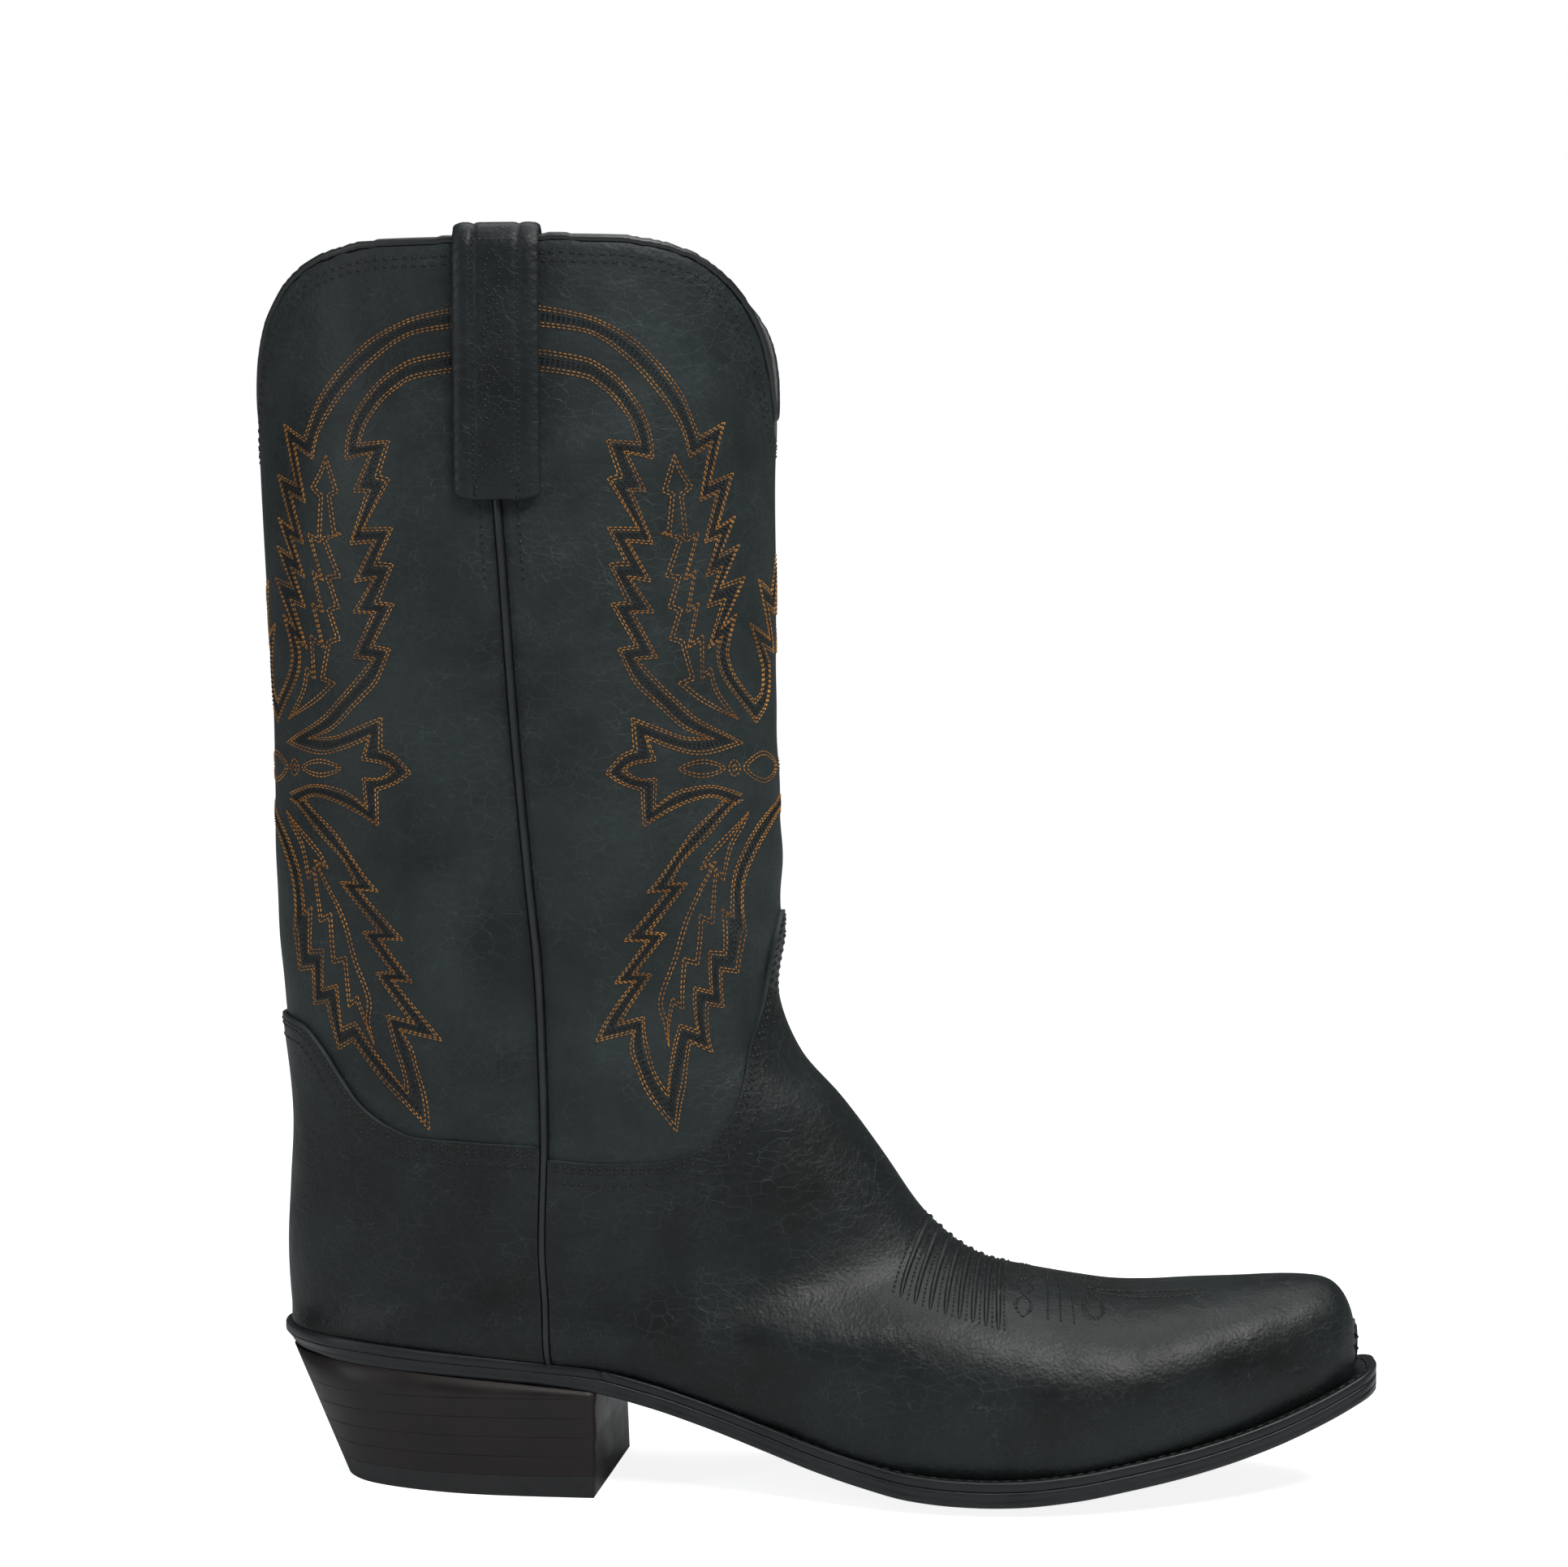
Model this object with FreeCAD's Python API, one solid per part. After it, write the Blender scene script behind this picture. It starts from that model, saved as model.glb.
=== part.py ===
"""Cowboy boot, right foot, in millimetres: toe along +X, inner side of the foot along +Y, +Z up.

The upper is one body shape, held as a fan of sections. Each section runs from the front or top of
the boot to its back or bottom. Leather layers are the space between two offsets of that shape, cut
to their outlines in the side view. Soles and welt are slabs that follow the sole's side profile,
cut to its plan. The model is moved at the end so that the ground and the middle of its box are the
origin.
"""
import FreeCAD, Part
import math
import os

V = FreeCAD.Vector

# ---------------------------------------------------------------- driving dimensions
LEATHER = 1.3            # shaft, vamp and counter leather
LINING = 0.9             # lining leather
GLUE = 0.1               # room left between two layers
WELT = 3.0               # welt thickness
WELT_WIDTH = 9.5         # from the sole's edge to under the upper
RAND_WIDTH = 6.5         # the strip round the heel seat, as thick as the welt
INSOLE = 3.0
HEEL_PAD = 1.2
FILLER = 2.8             # cork, and the board under the waist
SHANK = (112.0, 15.0, 1.6)   # length, width, thickness of the steel shank
CAP = 6.0                # top lift, the one that touches the ground
LIFT = 5.6               # each leather lift of the heel
LIFTS = 5                # the last one is the wedge under the seat
TOE_X = 162.0            # tip of the sole
HEEL_X = -155.5          # back of the sole
BREAST_X = -59.0         # front face of the heel
BREAST_SKEW = 3.2        # degrees that the heel is turned against the foot
RIM_BEAD = 2.4           # height of the folded binding above the panels
BEAD_PROUD = 0.4         # how far the binding stands over the panel and the lining
PIPING = 2.2             # width of the side piping
PIPING_PROUD = 1.9       # how far the piping stands over the shaft
STRAP_WIDTH = 24.0
STRAP_THICK = 2.4
STRAP_X = -84.3
STRAP_TOP = 357.8
STRAP_OUTER_END = 282.0
STRAP_INNER_END = 306.0
STITCH_PITCH = 4.2       # along the welt
FAR = 200.0              # half width of a cutting prism, wider than the boot
SKY = 400.0              # above the whole boot

# Fan of sections: front point x, z; back point x, z; outer and inner half width; where along the
# section it is widest; roundness of its front half.
STATIONS = [
    (-6.5, 362.0, -162.5, 362.0, 48.0, 48.0, 0.50, 2.1),
    (-7.2, 335.0, -162.2, 335.0, 47.5, 47.5, 0.50, 2.1),
    (-11.0, 300.0, -161.0, 300.0, 46.5, 46.5, 0.50, 2.1),
    (-11.2, 262.0, -159.2, 262.0, 46.0, 46.0, 0.50, 2.1),
    (-11.0, 222.0, -157.4, 222.0, 45.0, 45.0, 0.50, 2.1),
    (-9.8, 186.0, -156.8, 184.0, 43.0, 43.0, 0.50, 2.1),
    (-10.2, 160.0, -155.6, 153.0, 40.5, 40.5, 0.50, 2.1),
    (-11.6, 140.0, -153.6, 130.0, 38.0, 38.0, 0.50, 2.1),
    (-5.0, 124.0, -151.2, 107.0, 35.3, 35.3, 0.50, 2.1),
    (7.0, 110.2, -151.9, 87.0, 33.6, 33.6, 0.50, 2.1),
    (19.0, 94.4, -152.8, 68.0, 32.7, 32.7, 0.50, 2.1),
    (29.0, 80.0, -152.0, 51.0, 32.2, 32.2, 0.50, 2.1),
    (36.2, 72.4, -149.7, 40.0, 32.2, 32.0, 0.50, 2.1),
    (43.5, 66.7, -136.0, 33.5, 33.2, 32.7, 0.48, 2.1),
    (51.6, 62.7, -100.0, 27.0, 35.2, 34.7, 0.44, 2.1),
    (59.7, 60.7, -60.0, 24.0, 37.2, 37.2, 0.44, 2.1),
    (68.8, 59.0, -22.0, 14.0, 39.2, 40.7, 0.46, 2.1),
    (77.9, 57.5, 12.0, 4.0, 40.7, 44.7, 0.48, 2.1),
    (88.0, 56.2, 42.0, 0.0, 40.7, 47.2, 0.50, 2.1),
    (99.0, 56.3, 70.0, 0.0, 39.2, 46.2, 0.52, 2.1),
    (111.0, 57.4, 95.0, 5.0, 34.7, 40.2, 0.52, 2.1),
    (123.0, 58.4, 116.0, 9.0, 28.2, 32.2, 0.52, 2.1),
    (133.8, 59.3, 133.0, 13.0, 21.7, 23.9, 0.52, 2.2),
    (142.2, 59.4, 144.0, 18.0, 16.9, 17.9, 0.52, 2.3),
    (147.8, 58.5, 149.8, 22.0, 13.2, 13.7, 0.52, 2.4),
    (151.2, 55.8, 152.6, 26.0, 10.0, 10.2, 0.50, 2.4),
    (153.4, 51.4, 154.0, 31.0, 7.6, 7.7, 0.50, 2.4),
    (154.4, 46.5, 154.4, 36.0, 5.0, 5.0, 0.50, 2.2),
]
UNDER_ROUNDNESS = 2.2    # roundness of the back half where a section doesn't reach the sole
UNDER_LIMITS = (1.5, 3.0)    # and its range where it does

# Side profile of the outsole's lower face on its centre line, and the thickness of the sole's edge.
SOLE_BOTTOM = [(-160, 38.5), (-130, 35.6), (-107, 33.2), (-80, 30.8), (-61, 28.8), (-47, 25.2),
               (-30, 19.6), (-12, 13.2), (2, 8.4), (16, 4.4), (29, 1.5), (42, 0.3), (50, 0.1),
               (58, 0.3), (74, 2.0), (90, 5.0), (110, 9.4), (131, 15.6), (146, 21.6), (162, 29.5)]
OUTSOLE = [(-160, 4.0), (-60, 4.2), (0, 4.5), (162, 4.6)]
DISH = 2.6 / 42.0 ** 2   # the sole is a little rounded across: rise over half width squared

# Half width of the sole at x, on the outer and the inner side of the foot.
OUTER_EDGE = [(-155.5, 0), (-153.5, 9), (-147, 18), (-135, 26), (-115, 30.5), (-90, 31),
              (-60, 29.5), (-35, 28.2), (-15, 30.5), (5, 35.5), (28, 40.8), (50, 42.5),
              (72, 41.5), (95, 37), (118, 29.5), (138, 21.5), (152, 15.8), (158.5, 12),
              (161.5, 6), (162, 0)]
INNER_EDGE = [(-155.5, 0), (-153.5, 9), (-147, 18), (-135, 26), (-115, 30.5), (-90, 30.5),
              (-60, 27.5), (-35, 25.5), (-15, 27.5), (8, 35), (32, 44), (56, 49.5), (76, 49),
              (98, 42.5), (120, 32.5), (138, 23.5), (152, 16.2), (158.5, 12), (161.5, 6), (162, 0)]
# How far the shaft surface stays inside the sole's edge, along x.
FEATHER_INSET = [(-156, 3.3), (-60, 3.8), (-20, 4.8), (30, 5.8), (130, 6.8), (162, 7.8)]

# Outlines in the side view, as x, z.
RIM_FRONT = [(-84.0, 352.4), (-68.0, 352.8), (-52.0, 352.6), (-40.0, 351.2), (-32.0, 348.8),
             (-25.0, 344.4), (-19.5, 338.6), (-14.8, 330.2), (-12.2, 319.0), (-11.3, 309.5),
             (-10.8, 301.5), (-8.0, 298.8), (10.0, 298.5)]
RIM_BACK = [(-84.0, 352.4), (-102.0, 352.0), (-120.0, 351.6), (-135.0, 348.8), (-144.5, 343.8),
            (-153.0, 334.0), (-157.5, 323.5), (-159.6, 312.5), (-160.6, 302.0), (-161.5, 295.5),
            (-175.0, 294.0)]
SIDE_SEAM = [(-86.0, 365.0), (-85.5, 300.0), (-83.1, 259.5), (-80.4, 219.0), (-77.4, 182.8),
             (-74.4, 142.0), (-74.0, 105.0), (-74.9, 72.0), (-74.0, 55.0), (-73.3, 20.0)]
VAMP_TOP = [(-74.0, 97.5), (-58.0, 96.2), (-42.0, 96.6), (-29.0, 100.5), (-22.0, 108.0),
            (-18.5, 118.0), (-16.6, 128.0), (-14.0, 137.5), (-11.8, 148.0), (-10.4, 158.0),
            (-8.0, 166.5), (4.0, 167.0)]
COUNTER_TOP = [(-74.0, 101.0), (-97.0, 102.0), (-111.0, 102.8), (-120.0, 106.0), (-128.0, 111.5),
               (-134.0, 119.0), (-140.5, 128.0), (-147.0, 133.5), (-165.0, 137.0)]
SEAM_TOP = 351.0         # the side seam ends here, under the binding

HEEL_BASE = [(-136.8, 0.0), (-134.6, 8.0), (-127.5, 16.0), (-114.0, 22.5), (-98.0, 26.6),
             (-80.0, 28.2), (-50.0, 29.0)]
HEEL_TOP_Z = 44.0        # level where the heel has the sole's plan
HEEL_TOP_INSET = 0.4
HEEL_FRONT_X = -50.0     # the block is lofted this far forward, then cut at the breast


# ---------------------------------------------------------------- curves and surfaces
def value_at(x, points):
    """Smooth curve through points sorted by x, with no overshoot."""
    if x <= points[0][0]:
        return float(points[0][1])
    if x >= points[-1][0]:
        return float(points[-1][1])
    last = len(points) - 1
    k = max(i for i in range(last) if points[i][0] <= x)

    def rise(i):
        return (points[i + 1][1] - points[i][1]) / (points[i + 1][0] - points[i][0])

    def slope(i):
        if i == 0 or i == last:
            return rise(min(i, last - 1))
        before, after = rise(i - 1), rise(i)
        if before * after <= 0:
            return 0.0
        return 2 * before * after / (before + after)

    run = points[k + 1][0] - points[k][0]
    t = (x - points[k][0]) / run
    low, high = points[k][1], points[k + 1][1]
    return ((2 * t ** 3 - 3 * t ** 2 + 1) * low + (t ** 3 - 2 * t ** 2 + t) * run * slope(k)
            + (3 * t ** 2 - 2 * t ** 3) * high + (t ** 3 - t ** 2) * run * slope(k + 1))


def outsole_top(x):
    return value_at(x, SOLE_BOTTOM) + value_at(x, OUTSOLE)


def under_roundness(station, side):
    """Exponent that brings a section's back half through the sole's edge line."""
    fx, fz, bx, bz, outer, inner, widest, _ = station
    half = outer if side < 0 else inner
    steps = 400
    for k in range(steps):
        t = widest + (1 - widest) * k / steps
        x = fx + (bx - fx) * t
        if fz + (bz - fz) * t < outsole_top(x) + WELT:
            break
    else:
        return UNDER_ROUNDNESS
    edge = value_at(x, OUTER_EDGE if side < 0 else INNER_EDGE) - value_at(x, FEATHER_INSET)
    wanted = min(edge / half, 0.98)
    share = (t - widest) / (1 - widest)
    low, high = UNDER_LIMITS
    for _ in range(30):
        middle = (low + high) / 2
        if (1 - share ** middle) ** (1 / middle) < wanted:
            low = middle
        else:
            high = middle
    return low


FAN = [row + (under_roundness(row, -1), under_roundness(row, 1)) for row in STATIONS]


def fan_section(v):
    """Catmull-Rom through the fan."""
    last = len(FAN) - 1
    k = min(int(v), last - 1)
    t = v - k
    rows = [FAN[max(0, min(last, k + i))] for i in (-1, 0, 1, 2)]
    return [0.5 * (2 * b + (c - a) * t + (2 * a - 5 * b + 4 * c - d) * t ** 2
                   + (3 * b - a - 3 * c + d) * t ** 3) for a, b, c, d in zip(*rows)]


def section_points(v, side, count=8):
    """One side of a section, from its back point to its front point."""
    fx, fz, bx, bz, outer, inner, widest, front, under_outer, under_inner = fan_section(v)
    half = outer if side < 0 else inner
    under = under_outer if side < 0 else under_inner
    points = []
    for k in range(2 * count + 1):
        angle = math.pi / 2 * (k / count - 1)
        power = 2 / (under if k < count else front)
        along = abs(math.sin(angle)) ** power
        across = max(math.cos(angle), 0.0) ** power if 0 < k < 2 * count else 0.0
        if k < count:
            t = widest + (1 - widest) * along
        else:
            t = widest * (1 - along)
        points.append(V(fx + (bx - fx) * t, side * half * across, fz + (bz - fz) * t))
    return points


def body_grid():
    """Rows of points round the boot, one row per section."""
    rows = []
    steps_per_station = 2
    for k in range((len(FAN) - 1) * steps_per_station + 1):
        v = k / steps_per_station
        outer = section_points(v, -1)
        inner = section_points(v, 1)
        rows.append(outer + inner[::-1][1:])
    return rows


GRID = body_grid()


def offset_grid(distance):
    """The body's grid moved outwards along its normals."""
    rows = []
    last = len(GRID) - 1
    around = len(GRID[0]) - 1
    for i, row in enumerate(GRID):
        moved = []
        for j, point in enumerate(row):
            down = GRID[min(i + 1, last)][j] - GRID[max(i - 1, 0)][j]
            along = row[(j + 1) % around] - row[(j - 1) % around]
            normal = down.cross(along)
            if i == 0:
                normal.z = 0.0
            if i == last:
                normal.x = 0.0
            normal.normalize()
            if i == last:
                normal.x = 1.0
            moved.append(point + normal * distance)
        rows.append(moved)
    return rows


def closed_solid(faces):
    shell = Part.makeShell(faces)
    shell.sewShape()
    solid = Part.Solid(shell)
    if solid.Volume < 0:
        solid.reverse()
    return solid


BODIES = {}


def body(distance):
    """Solid of the whole boot shape, grown or shrunk by a distance."""
    if distance not in BODIES:
        surface = Part.BSplineSurface()
        surface.interpolate(offset_grid(distance))
        skin = surface.toShape()
        ends = [edge for edge in skin.Edges if edge.isClosed()]
        caps = [Part.Face(Part.Wire(edge)) for edge in ends]
        BODIES[distance] = closed_solid([skin] + caps)
    return BODIES[distance]


LAYERS = {}


def layer(outside, inside):
    """Shell between two offsets of the body."""
    if (outside, inside) not in LAYERS:
        LAYERS[outside, inside] = body(outside).cut(body(inside))
    return LAYERS[outside, inside]


def height_face(height, xs, ys):
    surface = Part.BSplineSurface()
    surface.interpolate([[V(x, y, height(x, y)) for y in ys] for x in xs])
    return surface.toShape()


def slab(lower, upper, x_from=-170.0, x_to=175.0, half=70.0):
    """Solid between two height functions of x and y."""
    count = 20
    xs = [x_from + (x_to - x_from) * k / count for k in range(count + 1)]
    ys = [-half, 0.0, half]
    low = height_face(lower, xs, ys)
    high = height_face(upper, xs, ys)
    sides = [Part.makeRuledSurface(a, b) for a, b in zip(low.Edges, high.Edges)]
    return closed_solid([low, high] + sides)


def sole_height(extra):
    """Height function of a level of the sole: extra above the outsole's upper face."""
    return lambda x, y: outsole_top(x) + extra + DISH * y * y


def outsole_bottom(x, y):
    return value_at(x, SOLE_BOTTOM) + DISH * y * y


def side_prism(outline):
    """Closed outline in the side view, pushed across the whole boot."""
    wire = Part.makePolygon([V(x, -FAR, z) for x, z in outline + outline[:1]])
    return Part.Face(wire).extrude(V(0, 2 * FAR, 0))


def smooth_line(points, steps=4):
    """Points along a spline through the given ones, for the side outlines."""
    curve = Part.BSplineCurve()
    curve.interpolate([V(x, 0, z) for x, z in points])
    count = steps * (len(points) - 1)
    first, last = curve.FirstParameter, curve.LastParameter
    found = [curve.value(first + (last - first) * k / count) for k in range(count + 1)]
    return [(p.x, p.z) for p in found]


def shifted(points, dx=0.0, dz=0.0):
    return [(x + dx, z + dz) for x, z in points]


def plan_outline():
    """Points round the sole's plan, from the heel along the outer side and back."""
    outer = [(x, -half) for x, half in OUTER_EDGE]
    return outer + INNER_EDGE[::-1][1:-1]


def plan_prism():
    """The sole's plan as a prism. Its edge is cut into short spans, one face each."""
    curve = Part.BSplineCurve()
    curve.interpolate([V(x, y, -20.0) for x, y in plan_outline()], True)
    spans = 24
    first, last = curve.FirstParameter, curve.LastParameter
    ends = [first + (last - first) * k / spans for k in range(spans + 1)]
    wire = Part.Wire([curve.toShape(a, b) for a, b in zip(ends, ends[1:])])
    return Part.Face(wire).extrude(V(0, 0, 200.0))


def half_space(x_from, x_to):
    return Part.makeBox(x_to - x_from, 2 * FAR, SKY + 40, V(x_from, -FAR, -20))


# ---------------------------------------------------------------- the upper
RIM_STEPS = 5            # points per span of a rim's outline


def above_welt():
    return slab(sole_height(WELT + GLUE), lambda x, y: SKY)


def panel_region(rim, low_line, side):
    """Side outline of one shaft panel: seam, rim, open front or back, and its lower edge."""
    clear = side * (PIPING / 2 + GLUE)
    seam = [p for p in smooth_line(SIDE_SEAM) if p[1] < SEAM_TOP]
    seam = [(x + clear, z) for x, z in seam if z > low_line[0][1]]
    return smooth_line(rim, RIM_STEPS)[1:] + low_line[::-1] + seam[::-1]


UNDERLAP = 13.0          # how far the shaft leather runs on under the vamp and the counter


def shaft_front(outside, inside, drop=0.0):
    low = shifted(smooth_line(VAMP_TOP), dz=-UNDERLAP - drop) + [(20.0, 150.0)]
    return layer(outside, inside).common(side_prism(panel_region(RIM_FRONT, low, 1)))


def shaft_back(outside, inside, drop=0.0):
    low = shifted(smooth_line(COUNTER_TOP), dz=-UNDERLAP - drop)
    return layer(outside, inside).common(side_prism(panel_region(RIM_BACK, low, -1)))


def seam_below(line_z, side):
    clear = side * (PIPING / 2 + GLUE)
    return [(x + clear, z) for x, z in smooth_line(SIDE_SEAM) if z < line_z]


def foot_front_region(top_line):
    return smooth_line(top_line) + [(180.0, 167.0), (180.0, 0.0)] + seam_below(97.0, 1)[::-1]


def foot_back_region(top_line):
    return smooth_line(top_line) + [(-180.0, 137.0), (-180.0, 0.0)] + seam_below(100.0, -1)[::-1]


def vamp(above):
    return layer(LEATHER + GLUE, GLUE).common(side_prism(foot_front_region(VAMP_TOP))).common(above)


def counter_cover(above):
    region = side_prism(foot_back_region(COUNTER_TOP))
    return layer(LEATHER + GLUE, GLUE).common(region).common(above)


LINING_OUT = -LEATHER - GLUE
LINING_IN = LINING_OUT - LINING


def vamp_lining(above):
    drop = UNDERLAP + 0.6
    front = shifted(smooth_line(VAMP_TOP), dz=-drop)
    back = shifted(smooth_line(COUNTER_TOP), dz=-drop)
    outline = back[::-1] + front + [(180.0, 150.0), (180.0, 0.0), (-180.0, 0.0), (-180.0, 124.0)]
    return layer(LINING_OUT, LINING_IN).common(side_prism(outline)).common(above)


def toe_box(above):
    return layer(0.0, -LEATHER).common(half_space(92.0, 180.0)).common(above)


def counter_stiffener(above):
    outline = [(-180.0, 20.0), (-180.0, 92.0), (-150.0, 92.0), (-118.0, 84.0), (-84.0, 60.0),
               (-80.0, 20.0)]
    return layer(0.0, -LEATHER).common(side_prism(outline)).common(above)


def side_piping(side, above):
    line = [p for p in smooth_line(SIDE_SEAM) if p[1] < SEAM_TOP]
    half = PIPING / 2
    strip = side_prism([(x + half, z) for x, z in line] + [(x - half, z) for x, z in line[::-1]])
    near = Part.makeBox(400, FAR, SKY, V(-200, -FAR if side < 0 else 0, 0))
    return layer(PIPING_PROUD, -LEATHER).common(strip).common(near).common(above)


def rim_bead(rim):
    """Folded binding: a band on top of the panel and its lining."""
    line = smooth_line(rim)
    outward = -1 if line[-1][0] < line[0][0] else 1
    edge = []
    for k, (x, z) in enumerate(line):
        ax, az = line[max(k - 1, 0)]
        bx, bz = line[min(k + 1, len(line) - 1)]
        length = math.hypot(bx - ax, bz - az)
        edge.append((x - outward * (bz - az) / length * RIM_BEAD,
                     z + outward * (bx - ax) / length * RIM_BEAD))
    start = PIPING / 2 + GLUE
    low = [(x, z + GLUE) for x, z in line]
    low[0] = (low[0][0] + outward * start, low[0][1])
    edge[0] = (edge[0][0] + outward * start, edge[0][1])
    return layer(BEAD_PROUD, LINING_IN - BEAD_PROUD).common(side_prism(low + edge[::-1]))


def half_width_at(z):
    """Outer half width of the shaft at a height near the rim."""
    column = [(row[1], row[4]) for row in FAN[:4]]
    return value_at(z, sorted(column))


STRAP_GAP = 0.6          # between the strap and what it lies on
STRAP_CROWN = STRAP_TOP - 8.4    # level where the loop starts to turn
STRAP_CORNER = 1.2       # cut corner of the loop
STRAP_BACKSET = 1.0      # the inner leg hangs this much further in than the lining


def pull_strap(side):
    """Folded strap: outer leg, loop over the rim, inner leg."""
    outer_gap = PIPING_PROUD + STRAP_GAP
    inner_gap = -LINING_IN + BEAD_PROUD + STRAP_GAP + STRAP_BACKSET
    outside = [(half_width_at(z) + outer_gap, z) for z in (STRAP_OUTER_END, 320.0, STRAP_CROWN)]
    inside = [(half_width_at(z) - inner_gap, z) for z in (STRAP_CROWN, 330.0, STRAP_INNER_END)]
    under_top = STRAP_TOP - STRAP_THICK
    cut = STRAP_CORNER
    near, far = outside[-1][0], inside[0][0]
    inner_line = outside + [(near - cut / 2, under_top - cut), (near - cut * 1.5, under_top),
                            (far + cut, under_top), (far, under_top - cut)] + inside
    near, far = near + STRAP_THICK, far - STRAP_THICK
    outer_line = [(y + STRAP_THICK, z) for y, z in outside]
    outer_line += [(near - cut, STRAP_TOP - cut), (near - cut * 3, STRAP_TOP),
                   (far + cut * 3, STRAP_TOP), (far + cut, STRAP_TOP - cut)]
    outer_line += [(y - STRAP_THICK, z) for y, z in inside]
    outline = inner_line + outer_line[::-1]
    x = STRAP_X - STRAP_WIDTH / 2
    wire = Part.makePolygon([V(x, side * y, z) for y, z in outline + outline[:1]])
    return Part.Face(wire).extrude(V(STRAP_WIDTH, 0, 0))


# ---------------------------------------------------------------- the bottom
def inner_space(low, high, x_from, x_to):
    """Slab of the bottom that fills the lining from side to side."""
    part = slab(sole_height(low), sole_height(high))
    return part.common(body(LINING_IN - GLUE)).common(half_space(x_from, x_to))


def edge_path(turn_x, x_end, side, inset, step=3.0):
    """Plan points from the breast line to the turn at the toe or the heel, on one side."""
    table = OUTER_EDGE if side < 0 else INNER_EDGE
    count = int(abs(turn_x - x_end) / step)
    found = []
    for k in range(count + 1):
        x = x_end + (turn_x - x_end) * math.sin(math.pi / 2 * k / count)
        found.append((x, side * max(value_at(x, table) - inset, 0.0)))
    return found


def edge_strip(high, turn_x, x_end, width):
    """Strip along the sole's edge from side to side round one end, under the upper's edge."""
    outer_line = edge_path(turn_x, x_end, -1, 0.0) + edge_path(turn_x, x_end, 1, 0.0)[::-1][1:]
    middle = turn_x - math.copysign(40.0, turn_x)
    corners = []
    for x, y in outer_line:
        turning = (x - middle) * turn_x > 0
        away = math.hypot(x - middle, y) if turning else abs(y)
        share = (away - width) / away
        inner_x = middle + (x - middle) * share if turning else x
        corners.append(((x, y), (inner_x, y * share)))
    levels = (sole_height(GLUE / 2), sole_height(high))

    def rail(which, level):
        curve = Part.BSplineCurve()
        places = [pair[which] for pair in corners]
        curve.interpolate([V(x, y, level(x, y)) for x, y in places])
        return curve.toShape()

    rails = [rail(0, levels[0]), rail(0, levels[1]), rail(1, levels[1]), rail(1, levels[0])]
    faces = [Part.makeRuledSurface(a, b) for a, b in zip(rails, rails[1:] + rails[:1])]
    for end in ("firstVertex", "lastVertex"):
        points = [getattr(edge, end)(True).Point for edge in rails]
        faces.append(Part.Face(Part.makePolygon(points + points[:1])))
    return closed_solid(faces)


def outsole():
    return slab(outsole_bottom, sole_height(0.0)).common(plan_prism())


SHANK_LIFT = 0.4         # above the outsole
SHANK_BACK_X = -112.0


def shank():
    """Steel strip under the waist, let into the board and the cork."""
    length, width, thick = SHANK
    strip = slab(sole_height(SHANK_LIFT), sole_height(SHANK_LIFT + thick))
    return strip.common(Part.makeBox(length, width, 100.0, V(SHANK_BACK_X, -width / 2, 0)))


def heel_outline(points, z):
    """Plan of the heel at a level: a curve round the back and a straight front edge."""
    curve = Part.BSplineCurve()
    curve.interpolate([V(x, y, z) for x, y in points])
    return Part.Wire([curve.toShape(), Part.makeLine(curve.EndPoint, curve.StartPoint)])


def heel_block():
    """Whole heel, from the ground to the underside of the outsole."""
    base = [(x, -y) for x, y in HEEL_BASE[::-1]] + HEEL_BASE[1:]
    sides = []
    for edge, side in ((OUTER_EDGE, -1), (INNER_EDGE, 1)):
        points = [(max(x, HEEL_X + HEEL_TOP_INSET), side * max(half - HEEL_TOP_INSET, 0.0))
                  for x, half in edge if x < HEEL_FRONT_X]
        front = value_at(HEEL_FRONT_X, edge) - HEEL_TOP_INSET
        sides.append(points + [(HEEL_FRONT_X, side * front)])
    top = sides[0][::-1] + sides[1][1:]
    block = Part.makeLoft([heel_outline(base, 0.0), heel_outline(top, HEEL_TOP_Z)], True, True)
    breast = Part.makeBox(100, 2 * FAR, 100, V(0, -FAR, -10))
    breast.rotate(V(0, 0, 0), V(0, 0, 1), -BREAST_SKEW)
    breast.translate(V(BREAST_X, 0, 0))
    under = slab(lambda x, y: -20.0, lambda x, y: outsole_bottom(x, y) - GLUE / 2)
    return block.cut(breast).common(under)


def heel_layers():
    """The cap and the lifts, from the ground up."""
    block = heel_block()
    levels = [0.0] + [CAP + LIFT * k for k in range(LIFTS)] + [60.0]
    names = ["heel_cap"] + ["heel_lift_%d" % (k + 1) for k in range(LIFTS)]
    pieces = {}
    for name, low, high in zip(names, levels, levels[1:]):
        slice_box = Part.makeBox(200, 2 * FAR, high - low - GLUE / 2, V(-190, -FAR, low))
        pieces[name] = block.common(slice_box)
    return pieces


NAIL_RADIUS = 1.1
NAIL_LOW = 2.5           # nails are driven in to this level
NAIL_INTO_BOARD = 2.4
PEG_RADIUS = 1.0
PEG_ROWS = 8
PEG_PITCH = 6.0
PEG_FIRST_X = -52.0


def heel_nails():
    """Nails from the cap through the stack and the outsole."""
    spots = [(-127.0, 0.0), (-119.0, -14.0), (-119.0, 14.0), (-100.0, -20.0), (-100.0, 20.0),
             (-80.0, -21.0), (-80.0, 20.0)]
    nails = []
    for x, y in spots:
        top = outsole_top(x) + NAIL_INTO_BOARD
        nails.append(Part.makeCylinder(NAIL_RADIUS, top - NAIL_LOW, V(x, y, NAIL_LOW)))
    return nails


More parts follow.
